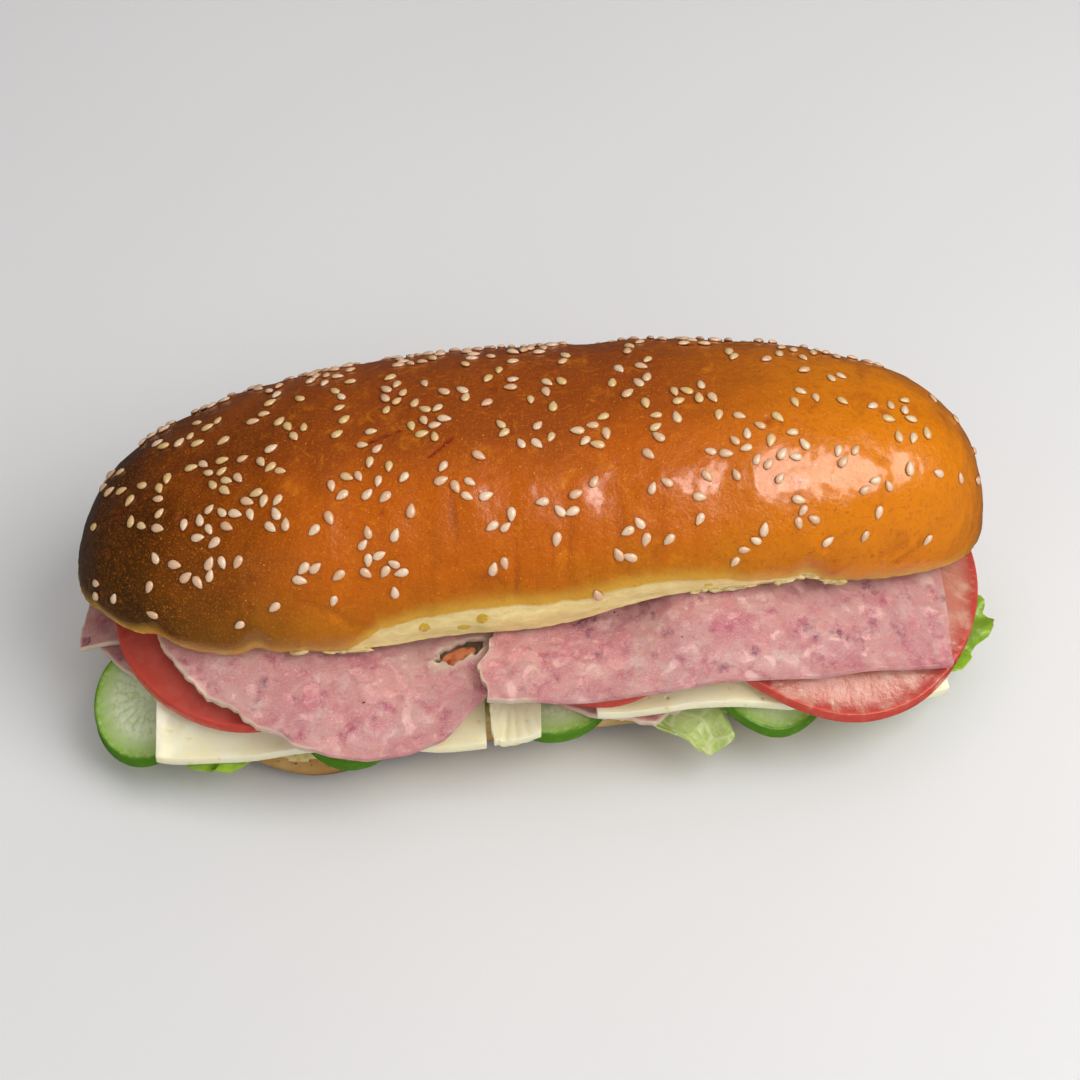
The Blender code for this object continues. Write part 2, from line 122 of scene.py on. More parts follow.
def paint(material, shader, colour):
    """The mixed colour becomes the surface's own."""
    material.node_tree.links.new(colour, shader.inputs["Base Color"])


def maths(material, operation, *values):
    """One sum on numbers or sockets of the material."""
    return add(material, "ShaderNodeMath", dict(enumerate(values)), operation=operation).outputs[0]


def place_on(material):
    """The place in the piece's own coordinates, in metres."""
    return add(material, "ShaderNodeTexCoord").outputs["Object"]


def mottle(material, size, detail=3.0, distortion=0.0, stretch=(1, 1, 1), rough=0.55, shift=(0, 0, 0)):
    """A cloudy pattern in the piece's own coordinates, with patches of about that size."""
    turned = add(material, "ShaderNodeMapping", {
        "Vector": place_on(material), "Scale": stretch, "Location": shift})
    return add(material, "ShaderNodeTexNoise", {
        "Vector": turned.outputs["Vector"], "Scale": 1 / size, "Detail": detail,
        "Roughness": rough, "Distortion": distortion}).outputs["Fac"]


def between(material, share, low, high, first, second):
    """Mixes two colours, from the first where share is low to the second where it is high."""
    eased = add(material, "ShaderNodeMapRange", {
        "Value": share, "From Min": low, "From Max": high}, interpolation_type="SMOOTHSTEP")
    return add(material, "ShaderNodeMix", {0: eased.outputs["Result"], 6: first, 7: second},
               data_type="RGBA").outputs[2]


def relief(material, shader, layers):
    """Bumps, one over the other: each layer is a height pattern and its depth in metres."""
    normal = None
    for height, depth in layers:
        inputs = {"Height": height, "Distance": depth, "Strength": 1.0}
        if normal:
            inputs["Normal"] = normal
        normal = add(material, "ShaderNodeBump", inputs).outputs["Normal"]
    material.node_tree.links.new(normal, shader.inputs["Normal"])


def copy_of(node, name):
    """A copy of a solid, merged along its facets' edges, as the only selected object."""
    bpy.ops.object.select_all(action="DESELECT")
    frame["nodes"][node].select_set(True)
    bpy.context.view_layer.objects.active = frame["nodes"][node]
    bpy.ops.object.duplicate()
    piece = bpy.context.active_object
    piece.name = name
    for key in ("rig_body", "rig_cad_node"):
        del piece[key]
    piece.parent = None
    piece.data.materials.clear()
    bpy.ops.object.mode_set(mode="EDIT")
    bpy.ops.mesh.select_all(action="SELECT")
    bpy.ops.mesh.remove_doubles(threshold=0.00001)
    bpy.ops.mesh.customdata_custom_splitnormals_clear()
    bpy.ops.object.mode_set(mode="OBJECT")
    return piece


def hand_over(piece, slot, *nodes):
    """The piece rides on the sandwich and stands for its solid."""
    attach(piece, "root")
    if nodes:
        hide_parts(*nodes)


bread, shader = new_material("baked_bread_underside", Roughness=0.62, IOR=1.45)
patches = mottle(bread, 14 * MM, 4)
crust_colour = between(bread, patches, 0.35, 0.65, BREAD_CRUST, BREAD_CRUST_PALE)
height = add(bread, "ShaderNodeSeparateXYZ", {0: place_on(bread)}).outputs["Z"]
crust_colour = between(bread, height, 1.5 * MM, 7.0 * MM, BREAD_CRUST_DARK, crust_colour)
specks = mottle(bread, 1.1 * MM, 2)
crust_colour = between(bread, specks, 0.62, 0.72, crust_colour, BREAD_CRUST_DARK)
paint(bread, shader, crust_colour)
relief(bread, shader, [(mottle(bread, 3 * MM), 0.5 * MM), (specks, 0.12 * MM)])

crumb, shader = new_material("soft_white_crumb", Roughness=0.85, IOR=1.4)
let_light_in(shader, 0.3, (1.0, 0.7, 0.35), 2 * MM)
pores = add(crumb, "ShaderNodeTexVoronoi", {
    "Vector": place_on(crumb), "Scale": 1 / (1.6 * MM)},
    feature="SMOOTH_F1").outputs["Distance"]
crumb_colour = between(crumb, pores, 0.1, 0.55, CRUMB_SHADE, CRUMB)
paint(crumb, shader, crumb_colour)
relief(crumb, shader, [(pores, 0.5 * MM), (mottle(crumb, 0.5 * MM), 0.15 * MM)])

bottom = copy_of("bottom_roll", "bottom_roll_bread")
bpy.ops.object.mode_set(mode="EDIT")
bpy.ops.mesh.select_all(action="SELECT")
bpy.ops.mesh.tris_convert_to_quads()
bpy.ops.object.mode_set(mode="OBJECT")
rounding = bottom.modifiers.new("rounding", "SUBSURF")
rounding.levels = 3
rounding.render_levels = 3
bpy.ops.object.modifier_apply(modifier="rounding")
bpy.ops.object.shade_smooth()
bottom.data.materials.append(bread)
bottom.data.materials.append(crumb)
for face in bottom.data.polygons:
    face.material_index = int(face.normal.z > 0.55)
hand_over(bottom, "bread", "bottom_roll")


# Lettuce: three leaves of green leaf lettuce, thin, crumpled and frilled at the rim, waxy, with a net of pale
# veins. Each is its solid's sheet, divided and ruffled more and more towards its rim.
LETTUCE_GREEN = "#7FA32E"
LETTUCE_RIM = "#A6CC3A"
LETTUCE_PALE = "#D2DC9E"
LETTUCE_VEIN = "#DDE6B0"
RUFFLE_WAVES = 26
RUFFLE_HEIGHT = 1.6 * MM


def sheet_of(node, name, cuts, rounds):
    """The lower face of a slice's solid, divided and smoothed up and down, and how thick the slice is."""
    piece = copy_of(node, name)
    mesh = piece.data
    pairs = {}
    for vert in mesh.vertices:
        pairs.setdefault((round(vert.co.x, 6), round(vert.co.y, 6)), []).append(vert.co.z)
    thickness = float(np.median([max(z) - min(z) for z in pairs.values()]))
    bpy.ops.object.mode_set(mode="EDIT")
    bpy.ops.mesh.select_all(action="DESELECT")
    bpy.ops.mesh.select_mode(type="FACE")
    bpy.ops.object.mode_set(mode="OBJECT")
    for face in mesh.polygons:
        face.select = face.normal.z > -0.2
    bpy.ops.object.mode_set(mode="EDIT")
    bpy.ops.mesh.delete(type="FACE")
    bpy.ops.mesh.select_mode(type="VERT")
    bpy.ops.mesh.select_all(action="SELECT")
    bpy.ops.mesh.flip_normals()
    bpy.ops.mesh.subdivide(number_cuts=cuts)
    bpy.ops.mesh.vertices_smooth(factor=0.5, repeat=rounds, xaxis=False, yaxis=False, zaxis=True)
    bpy.ops.object.mode_set(mode="OBJECT")
    return piece, thickness


def polar(piece):
    """Each point's direction from the slice's middle, how far out it lies and how far the rim is that way."""
    mesh = piece.data
    points = np.zeros(len(mesh.vertices) * 3)
    mesh.vertices.foreach_get("co", points)
    points = points.reshape(-1, 3)
    uses = {}
    for face in mesh.polygons:
        for key in face.edge_keys:
            uses[key] = uses.get(key, 0) + 1
    rim = sorted({v for key, count in uses.items() if count == 1 for v in key})
    middle = points[rim, :2].mean(axis=0)
    spokes = points[:, :2] - middle
    angles = np.arctan2(spokes[:, 1], spokes[:, 0])
    lengths = np.hypot(spokes[:, 0], spokes[:, 1])
    order = np.argsort(angles[rim])
    limit = np.interp(angles, angles[rim][order], lengths[rim][order], period=2 * math.pi)
    return points, rim, angles, lengths, limit


def put_back(piece, points):
    """Moves the piece's points to their new places."""
    piece.data.vertices.foreach_set("co", points.ravel())
    piece.data.update()


def keep(piece, name, values):
    """Keeps one number for each point of the piece, for its material."""
    attribute = piece.data.attributes.get(name) or piece.data.attributes.new(name, "FLOAT", "POINT")
    attribute.data.foreach_set("value", np.asarray(values).astype(np.float32))


def numbers_kept(piece, name):
    """The numbers that the piece's points keep under that name."""
    values = np.zeros(len(piece.data.vertices))
    piece.data.attributes[name].data.foreach_get("value", values)
    return values


def kept(material, name):
    """The number that the piece keeps under that name, as a shader's input."""
    return add(material, "ShaderNodeAttribute", attribute_name=name).outputs["Fac"]


def keep_polar(piece, angles, lengths, limit):
    """Keeps each point's direction, its depth under the rim in millimetres and its share of the way out."""
    keep(piece, "turn", angles)
    keep(piece, "depth", (limit - lengths) / MM)
    keep(piece, "out", lengths / limit)


def thicken(piece, thickness, rounding, segments=2):
    """Gives the sheet its thickness straight up, and rounds the edges of its rim."""
    bpy.ops.object.mode_set(mode="EDIT")
    bpy.ops.mesh.select_all(action="SELECT")
    bpy.ops.mesh.extrude_region_move(TRANSFORM_OT_translate={"value": (0, 0, thickness)})
    bpy.ops.mesh.select_all(action="SELECT")
    bpy.ops.mesh.normals_make_consistent(inside=False)
    bpy.ops.mesh.select_all(action="DESELECT")
    bpy.ops.mesh.select_mode(type="EDGE")
    bpy.ops.mesh.edges_select_sharp(sharpness=math.radians(55))
    if rounding:
        bpy.ops.mesh.bevel(offset=rounding, segments=segments, affect="EDGES", clamp_overlap=True)
    bpy.ops.mesh.select_mode(type="VERT")
    bpy.ops.object.mode_set(mode="OBJECT")
    bpy.ops.object.shade_smooth_by_angle(angle=math.radians(60))


leaf, shader = new_material("lettuce_leaf", Roughness=0.38, IOR=1.42)
let_light_in(shader, 0.35, (0.5, 1.0, 0.2), 1.5 * MM)
out = kept(leaf, "out")
green = between(leaf, mottle(leaf, 7 * MM), 0.35, 0.65, LETTUCE_GREEN, LETTUCE_RIM)
green = between(leaf, out, 0.35, 0.85, LETTUCE_PALE, green)
branches = add(leaf, "ShaderNodeTexVoronoi", {
    "Vector": place_on(leaf), "Scale": 1 / (7 * MM)},
    feature="DISTANCE_TO_EDGE").outputs["Distance"]
twigs = add(leaf, "ShaderNodeTexVoronoi", {
    "Vector": place_on(leaf), "Scale": 1 / (2.2 * MM)},
    feature="DISTANCE_TO_EDGE").outputs["Distance"]
green = between(leaf, branches, 0.0, 0.10, between(leaf, out, 0.5, 1.0, LETTUCE_VEIN, green), green)
green = between(leaf, twigs, 0.0, 0.10, between(leaf, out, 0.3, 0.9, LETTUCE_PALE, green), green)
paint(leaf, shader, green)
relief(leaf, shader, [(branches, -0.8 * MM), (twigs, -0.25 * MM), (mottle(leaf, 1.2 * MM), 0.1 * MM)])

for name, greenness in (("lettuce_left", 1.0), ("lettuce_middle", 0.62), ("lettuce_right", 1.0)):
    piece, thickness = sheet_of(name, name + "_leaf", 5, 6)
    points, rim, angles, lengths, limit = polar(piece)
    share = lengths / limit
    ruffle = np.clip((share - 0.6) / 0.4, 0, 1) ** 1.5
    for k, (x, y, z) in enumerate(points):
        if ruffle[k] > 0:
            wave = math.sin(RUFFLE_WAVES * angles[k] + 5 * noise.noise(Vector((x, y, 0)) / (9 * MM)))
            fine = noise.noise(Vector((x, y, 5)) / (2.4 * MM))
            points[k, 2] += ruffle[k] * RUFFLE_HEIGHT * (0.5 + 0.7 * wave + 0.5 * fine)
            reach = ruffle[k] * (0.6 * wave + 1.1 * fine) * MM
            if name == "lettuce_right":
                reach -= 2.2 * MM * ruffle[k] * min(max((angles[k] + 0.5) / 0.15, 0), 1) * (angles[k] < 1.2)
            points[k, 0] += reach * math.cos(angles[k])
            points[k, 1] += reach * math.sin(angles[k])
    put_back(piece, points)
    keep_polar(piece, angles, lengths * greenness, limit)
    thicken(piece, thickness, 0)
    piece.data.materials.append(leaf)
    hand_over(piece, "lettuce", name)


# Cucumber: four slices with the skin left on. The skin is dark green and thin, the flesh under it bright green
# and then pale, wet and a little glassy, with faint rays about the middle.
CUCUMBER_SKIN = "#548522"
CUCUMBER_UNDER_SKIN = "#93BD48"
CUCUMBER_FLESH = "#BCD292"
CUCUMBER_HEART = "#DCE6C6"
CUCUMBER_RAY = "#E4EBD2"

cucumber, shader = new_material("cucumber_flesh_and_skin", Roughness=0.22, IOR=1.38)
let_light_in(shader, 0.4, (0.7, 1.0, 0.4), 2.5 * MM)
depth = kept(cucumber, "depth")
turn = kept(cucumber, "turn")
uneven = maths(cucumber, "ADD", depth, maths(cucumber, "MULTIPLY", mottle(cucumber, 2.5 * MM), 1.2))
flesh = between(cucumber, uneven, 1.0, 3.8, CUCUMBER_UNDER_SKIN, CUCUMBER_FLESH)
flesh = between(cucumber, uneven, 3.4, 6.0, flesh, CUCUMBER_HEART)
flesh = between(cucumber, mottle(cucumber, 1.1 * MM, 3), 0.4, 0.75, flesh, CUCUMBER_FLESH)
rays = add(cucumber, "ShaderNodeCombineXYZ", {"X": turn, "Y": 0.0, "Z": 0.0}).outputs[0]
rays = add(cucumber, "ShaderNodeTexNoise", {"Vector": rays, "Scale": 18.0, "Detail": 3.0}).outputs["Fac"]
flesh = between(cucumber, rays, 0.68, 1.05, flesh, CUCUMBER_RAY)
flesh = between(cucumber, uneven, 0.6, 1.5, CUCUMBER_SKIN, flesh)
paint(cucumber, shader, flesh)
relief(cucumber, shader, [(mottle(cucumber, 1.4 * MM), 0.15 * MM), (rays, 0.06 * MM)])

for name in ("cucumber_end", "cucumber_left", "cucumber_middle", "cucumber_right"):
    piece, thickness = sheet_of(name, name + "_slice", 7, 30)
    points, rim, angles, lengths, limit = polar(piece)
    spokes = points[:, :2] - points[rim, :2].mean(axis=0)
    even = np.full(len(points), np.mean(limit))
    grow = 1 + (even / limit - 1)[:, None] * np.clip(lengths / limit, 0, 1)[:, None]
    points[:, :2] += spokes * (grow - 1)
    put_back(piece, points)
    keep_polar(piece, angles, lengths * even / limit, even)
    thicken(piece, thickness, 0.5 * MM, 3)
    piece.data.materials.append(cucumber)
    hand_over(piece, "cucumber", name)


# Smoked beef: five thin machine-cut slices of a cooked, smoked and pressed joint. It is moist and pink, mottled
# with darker muscle and pale fat, with short fibres and specks of pepper; its torn edges are ragged and pale.
BEEF_PINK = "#E8A8A6"
BEEF_ROSE = "#DC8E96"
BEEF_PALE = "#ECC2BC"
BEEF_MUSCLE = "#C86880"
BEEF_DARK = "#944E6A"
BEEF_FAT = "#F3DCD5"
BEEF_SPECK = "#4A2026"
BEEF_RIM = "#EACFBD"

beef, shader = new_material("smoked_beef", Roughness=0.30, IOR=1.4)
let_light_in(shader, 0.25, (1.0, 0.35, 0.3), 1.2 * MM)
place = place_on(beef)
warp = add(beef, "ShaderNodeTexNoise", {"Vector": place, "Scale": 1 / (4 * MM), "Detail": 3.0}).outputs["Color"]
warp = add(beef, "ShaderNodeVectorMath", {0: warp, 1: (0.5, 0.5, 0.5)}, operation="SUBTRACT").outputs[0]
warp = add(beef, "ShaderNodeVectorMath", {0: warp, "Scale": 7 * MM}, operation="SCALE").outputs[0]
warped = add(beef, "ShaderNodeVectorMath", {0: place, 1: warp}, operation="ADD").outputs[0]
chunk = add(beef, "ShaderNodeTexVoronoi", {"Vector": warped, "Scale": 1 / (4.5 * MM), "Smoothness": 1.0},
            feature="SMOOTH_F1").outputs["Color"]
chunk = add(beef, "ShaderNodeSeparateColor", {0: chunk})
fibre_turn = maths(beef, "MULTIPLY", chunk.outputs[1], 6.0)
fibres = add(beef, "ShaderNodeVectorRotate", {"Vector": warped, "Angle": fibre_turn}).outputs[0]
fibres = add(beef, "ShaderNodeMapping", {"Vector": fibres, "Scale": (1, 3.2, 1)}).outputs[0]
fibres = add(beef, "ShaderNodeTexNoise", {"Vector": fibres, "Scale": 1 / (1.8 * MM), "Detail": 5.0,
                                          "Roughness": 0.65}).outputs["Fac"]
meat = between(beef, mottle(beef, 9 * MM, 5, 0.4), 0.36, 0.64, BEEF_PINK, BEEF_ROSE)
meat = between(beef, chunk.outputs[0], 0.2, 1.3, meat, BEEF_PALE)
muscle = mottle(beef, 4.5 * MM, 5, 0.1, (1, 1, 1), 0.65, (3, 1, 0))
meat = between(beef, muscle, 0.50, 0.74, meat, BEEF_MUSCLE)
meat = between(beef, mottle(beef, 1.4 * MM, 5, 0.5, (1, 1.6, 1), 0.7, (4, 4, 0)), 0.54, 0.90, meat, BEEF_MUSCLE)
meat = between(beef, mottle(beef, 7 * MM, 5, 0.2, (1, 1, 1), 0.6, (7, 2, 0)), 0.58, 0.74, meat, BEEF_DARK)
haze = mottle(beef, 4.0 * MM, 5, 0.3, (1, 1.3, 1), 0.65, (1, 5, 0))
meat = between(beef, haze, 0.48, 0.84, meat, BEEF_PALE)
meat = between(beef, mottle(beef, 6.5 * MM, 6, 0, (1, 1.2, 1), 0.65, (2, 9, 0)), 0.52, 0.84, meat, BEEF_FAT)
meat = between(beef, fibres, 0.54, 1.15, meat, BEEF_PALE)
meat = between(beef, fibres, 0.46, 0.10, meat, BEEF_ROSE)
grain = mottle(beef, 0.45 * MM, 3, 0.3, (1, 1.5, 1), 0.6)
meat = between(beef, grain, 0.52, 0.80, meat, BEEF_FAT)
pepper = add(beef, "ShaderNodeTexVoronoi", {"Vector": warped, "Scale": 1 / (7 * MM)})
rare = add(beef, "ShaderNodeSeparateColor", {0: pepper.outputs["Color"]}).outputs[0]
pepper = maths(beef, "MULTIPLY_ADD", rare, 0.09, pepper.outputs["Distance"])
meat = between(beef, pepper, 0.045, 0.07, BEEF_SPECK, meat)
depth = kept(beef, "depth")
torn = kept(beef, "torn")
meat = between(beef, depth, 0.15, 0.9, between(beef, torn, 0.1, 0.5, meat, BEEF_RIM), meat)
paint(beef, shader, meat)
relief(beef, shader, [(haze, 0.35 * MM), (fibres, 0.2 * MM), (grain, 0.16 * MM)])


def lay_beef(name, cuts, tears, rounds=24):
    """A slice of beef. tears are (x, y, radius, depth) in mm: where its rim is torn, and how deep."""
    piece, thickness = sheet_of(name, name + "_slice", cuts, rounds)
    points, rim, angles, lengths, limit = polar(piece)
    torn = np.zeros(len(points))
    for x, y, radius, deep in tears:
        off = np.hypot(points[:, 0] - x * MM, points[:, 1] - y * MM) / (radius * MM)
        torn = np.maximum(torn, deep * np.exp(-off * off))
    near_rim = np.clip(1 - (limit - lengths) / (4 * MM), 0, 1) ** 2
    for k, (x, y, z) in enumerate(points):
        points[k, 2] += 0.35 * MM * noise.noise(Vector((x, y, 1)) / (7 * MM))
        if near_rim[k] > 0:
            coarse = noise.noise(Vector((x, y, 2)) / (4.6 * MM))
            fine = noise.noise(Vector((x, y, 7)) / (1.3 * MM))
            ragged = min(0.15, coarse) + min(0.3, coarse + 0.5) * fine
            reach = (0.1 + 1.2 * torn[k]) * ragged * near_rim[k] * MM
            curl = 0.6 + 1.5 * noise.noise(Vector((x, y, 4)) / (4 * MM))
            points[k] += (reach * math.cos(angles[k]), reach * math.sin(angles[k]),
                          0.30 * torn[k] * near_rim[k] * MM * curl)
    put_back(piece, points)
    keep_polar(piece, angles, lengths, limit)
    keep(piece, "torn", torn)
    return piece, thickness


def finish_beef(piece, thickness, name):
    """Gives the slice its thickness and its meat."""
    thicken(piece, thickness, 0.3 * MM)
    piece.data.materials.append(beef)
    hand_over(piece, "beef", name)


for name, cuts, tears in (("beef_under_left", 5, [(-100, -20, 14, 1.0)]),
                          ("beef_under_middle", 7, [(28, -52, 16, 2.2)]),
                          ("beef_under_fold", 5, [(-106, -20, 10, 0.8)])):
    finish_beef(*lay_beef(name, cuts, tears), name)


# Cheese: two slices and a torn strip of young, pale yellow cheese, cut from a block. It is smooth, dense and a
# little oily, light passes a few millimetres into it, and it has pinholes and faint marks of the knife.
CHEESE_BODY = "#F8EFCA"
CHEESE_PALE = "#FBF4DA"
CHEESE_DEEP = "#E2D08C"
CHEESE_PINHOLE_SHADE = "#8E8148"

cheese, shader = new_material("young_cheese", Roughness=0.34, IOR=1.45)
let_light_in(shader, 0.6, (1.0, 0.8, 0.4), 3 * MM)
body = between(cheese, mottle(cheese, 16 * MM, 2), 0.35, 0.65, CHEESE_BODY, CHEESE_PALE)
body = between(cheese, mottle(cheese, 3 * MM, 3), 0.6, 0.8, body, CHEESE_DEEP)
holes = add(cheese, "ShaderNodeTexVoronoi", {
    "Vector": place_on(cheese), "Scale": 1 / (11 * MM)}).outputs["Distance"]
# Painted shade: each pinhole is darkened at its bottom.
body = between(cheese, holes, 0.02, 0.05, CHEESE_PINHOLE_SHADE, body)
paint(cheese, shader, body)
pit = add(cheese, "ShaderNodeMapRange", {"Value": holes, "From Min": 0.02, "From Max": 0.08},
          interpolation_type="SMOOTHSTEP").outputs["Result"]
relief(cheese, shader, [(pit, 0.4 * MM), (mottle(cheese, 6 * MM, 2), 0.5 * MM),
                        (mottle(cheese, 0.9 * MM, 2, 0, (0.3, 1, 1)), 0.05 * MM)])

for name, cuts in (("cheese_left", 5), ("cheese_right", 5), ("cheese_strip", 7)):
    piece, thickness = sheet_of(name, name + "_slice", cuts, 14)
    if name == "cheese_strip":
        for vert in piece.data.vertices:
            x, y, z = vert.co / MM
            left = min(max((-7.0 - x) / 6, 0), 1)
            low = min(max((-50.0 - y) / 5, 0), 1)
            crumple = noise.noise(Vector((x, y, 0)) / 2.2) + 0.5 * noise.noise(Vector((x, y, 5)) / 0.9)
            inward = left * low * (0.9 + 0.5 * crumple)
            vert.co += Vector((inward, left * 0.4 * crumple, left * 0.35 * crumple)) * MM
    thicken(piece, thickness, 0.22 * MM)
    piece.data.materials.append(cheese)
    hand_over(piece, "cheese", name)


# Tomato: three slices across ripe tomatoes. The skin is a thin glossy red line, the wall under it pink-red
# flesh with pale rays, and inside lie chambers of orange gel, sunk a little under the cut.
TOMATO_SKIN = "#CC5044"
TOMATO_WALL = "#BC4A40"
TOMATO_FLESH = "#CB8270"
TOMATO_RAY = "#D9A693"
TOMATO_GEL = "#D2552C"
TOMATO_CHAMBERS = 6
GEL_DEPTH = 0.7 * MM
RIM_DIRECTIONS = 720
RIM_EASE = 11

tomato, shader = new_material("ripe_tomato", Roughness=0.2, IOR=1.37)
let_light_in(shader, 0.35, (1.0, 0.3, 0.15), 2 * MM)
depth = kept(tomato, "depth")
turn = kept(tomato, "turn")
gel = kept(tomato, "gel")
uneven = maths(tomato, "ADD", depth, maths(tomato, "MULTIPLY", mottle(tomato, 3 * MM), 2.0))
rays = add(tomato, "ShaderNodeCombineXYZ", {"X": turn, "Y": 0.0, "Z": 0.0}).outputs[0]
rays = add(tomato, "ShaderNodeTexNoise", {"Vector": rays, "Scale": 14.0, "Detail": 3.0}).outputs["Fac"]
flesh = between(tomato, uneven, 1.5, 6.0, TOMATO_WALL, TOMATO_FLESH)
flesh = between(tomato, mottle(tomato, 5 * MM, 3), 0.45, 0.75, flesh, TOMATO_RAY)
ray_share = maths(tomato, "MULTIPLY", rays, mottle(tomato, 4 * MM, 2))
flesh = between(tomato, ray_share, 0.26, 0.50, flesh, TOMATO_RAY)
flesh = between(tomato, mottle(tomato, 0.7 * MM, 3), 0.54, 1.0, flesh, TOMATO_RAY)
flesh = between(tomato, gel, 0.25, 0.7, flesh, TOMATO_GEL)
ripe = kept(tomato, "ripe")
flesh = between(tomato, ripe, 0.0, 1.25, flesh, TOMATO_WALL)
flesh = between(tomato, uneven, 0.5, 2.3, TOMATO_SKIN, flesh)
paint(tomato, shader, flesh)
relief(tomato, shader, [(mottle(tomato, 1.2 * MM), 0.25 * MM), (rays, 0.2 * MM)])

for name, start, ripe in (("tomato_left", 0.3, 1.0), ("tomato_middle", 0.9, 1.0), ("tomato_right", 0.55, 0.0)):
    piece, thickness = sheet_of(name, name + "_slice", 7, 20)
    points, rim, angles, lengths, limit = polar(piece)
    share = lengths / limit
    fine = np.linspace(-math.pi, math.pi, RIM_DIRECTIONS, endpoint=False)
    order = np.argsort(angles[rim])
    line = np.interp(fine, angles[rim][order], lengths[rim][order], period=2 * math.pi)
    line = np.mean([np.roll(line, k) for k in range(-RIM_EASE, RIM_EASE + 1)], axis=0)
    limit = np.interp(angles, fine, line, period=2 * math.pi)
    middle = points[rim, :2].mean(axis=0)
    lengths = share * limit
    points[:, 0] = middle[0] + lengths * np.cos(angles)
    points[:, 1] = middle[1] + lengths * np.sin(angles)
    put_back(piece, points)
    keep_polar(piece, angles, lengths, limit)
    chamber = 0.5 + 0.5 * np.cos(TOMATO_CHAMBERS * (angles + start) + 0.8 * np.sin(2 * angles + start))
    inside = np.clip((share - 0.28) / 0.12, 0, 1) * np.clip((0.80 - share) / 0.1, 0, 1)
    gel_share = np.clip((chamber - 0.35) / 0.25, 0, 1) * inside
    keep(piece, "gel", gel_share)
    keep(piece, "ripe", np.full(len(points), ripe))
    thicken(piece, thickness, 0.5 * MM, 3)
    mesh = piece.data
    for vert, share in zip(mesh.vertices, numbers_kept(piece, "gel")):
        if vert.normal.z > 0.3:
            vert.co.z -= GEL_DEPTH * share
    mesh.update()
    mesh.materials.append(tomato)
    hand_over(piece, "tomato", name)


# The two upper slices of beef: a round one, torn at its left and by the roll's rim, and over it a slice cut
# straight at its front and right, whose left edge is torn.
HOLE = Vector((-19.6, -39.6)) * MM
HOLE_HALF_LENGTH = 5.6 * MM
HOLE_HALF_WIDTH = 2.4 * MM
HOLE_TURN = math.radians(14)
ROUND_TEARS = [(-76, -45, 12, 2.6), (-64, -54, 8, 2.0), (-88, -28, 14, 1.0)]
STRAIGHT_TEARS = [(-14, -48, 8, 2.4), (-10, -36, 9, 3.0), (-9, -22, 12, 2.4)]

round_slice, thickness = lay_beef("beef_left", 9, ROUND_TEARS)
hole_x, hole_y = [], []
for vert in round_slice.data.vertices:
    off = Matrix.Rotation(-HOLE_TURN, 2) @ (vert.co.to_2d() - HOLE)
    hole_x.append(off.x / HOLE_HALF_LENGTH)
    hole_y.append(off.y / HOLE_HALF_WIDTH)
away = np.hypot(hole_x, hole_y)
torn = numbers_kept(round_slice, "torn")
depth = numbers_kept(round_slice, "depth")
below = np.array(hole_y) < 0.2
for k, vert in enumerate(round_slice.data.vertices):
    ragged = noise.noise(Vector((vert.co.x, vert.co.y, 3)) / (1.4 * MM))
    away[k] += 0.35 * ragged
    if away[k] < 2.0 and below[k]:
        vert.co.z += 0.8 * MM * math.exp(-((away[k] - 1.15) / 0.4) ** 2) * (0.7 + ragged)
keep(round_slice, "torn", np.maximum(torn, np.where(below, 2.0, 0.4) * (away < 1.9)))
keep(round_slice, "depth", np.minimum(depth, np.maximum((away - 1.0) * 1.2, 0)))
bpy.ops.object.mode_set(mode="EDIT")
bpy.ops.mesh.select_all(action="DESELECT")
bpy.ops.mesh.select_mode(type="VERT")
bpy.ops.object.mode_set(mode="OBJECT")
for vert, off in zip(round_slice.data.vertices, away):
    vert.select = bool(off < 0.9)
bpy.ops.object.mode_set(mode="EDIT")
bpy.ops.mesh.delete(type="VERT")
bpy.ops.object.mode_set(mode="OBJECT")
near_hole = [v.co - Vector((*HOLE, 0)) for v, off in zip(round_slice.data.vertices, away) if 0.9 < off < 1.5]
level, slope_x, slope_y = np.linalg.lstsq(np.array([(1, v.x, v.y) for v in near_hole]),
                                          np.array([v.z for v in near_hole]), rcond=None)[0]
finish_beef(round_slice, thickness, "beef_left")
finish_beef(*lay_beef("beef_right", 9, STRAIGHT_TEARS), "beef_right")


# Tomato in the hole: a soft wet shred of tomato that lies under the round slice and shows in its torn hole.
SHRED_COLOUR = "#DB8A5C"
SHRED_DEEP = "#A8452A"

shred, shader = new_material("tomato_shred", Roughness=0.22, IOR=1.37)
shred_colour = between(shred, mottle(shred, 2 * MM, 3), 0.4, 0.7, SHRED_COLOUR, SHRED_DEEP)
paint(shred, shader, shred_colour)
relief(shred, shader, [(mottle(shred, 0.8 * MM, 3), 0.15 * MM)])
bpy.ops.object.select_all(action="DESELECT")
bpy.ops.mesh.primitive_uv_sphere_add(segments=48, ring_count=24, radius=1)
bit = bpy.context.active_object
bit.name = "tomato_shred"
for vert in bit.data.vertices:
    u, v, w = vert.co
    bulge = 1 + 0.15 * noise.noise(vert.co * 1.8)
    flat = Matrix.Rotation(HOLE_TURN, 2) @ Vector((u * 4.3 * bulge - 0.7, v * 1.7 * bulge)) * MM
    top_z = level + slope_x * flat.x + slope_y * flat.y
    vert.co = (HOLE.x + flat.x, HOLE.y + flat.y, top_z + (0.55 + 0.5 * w * bulge) * MM)
bpy.ops.object.shade_smooth()
bit.data.materials.append(shred)
hand_over(bit, "tomato")


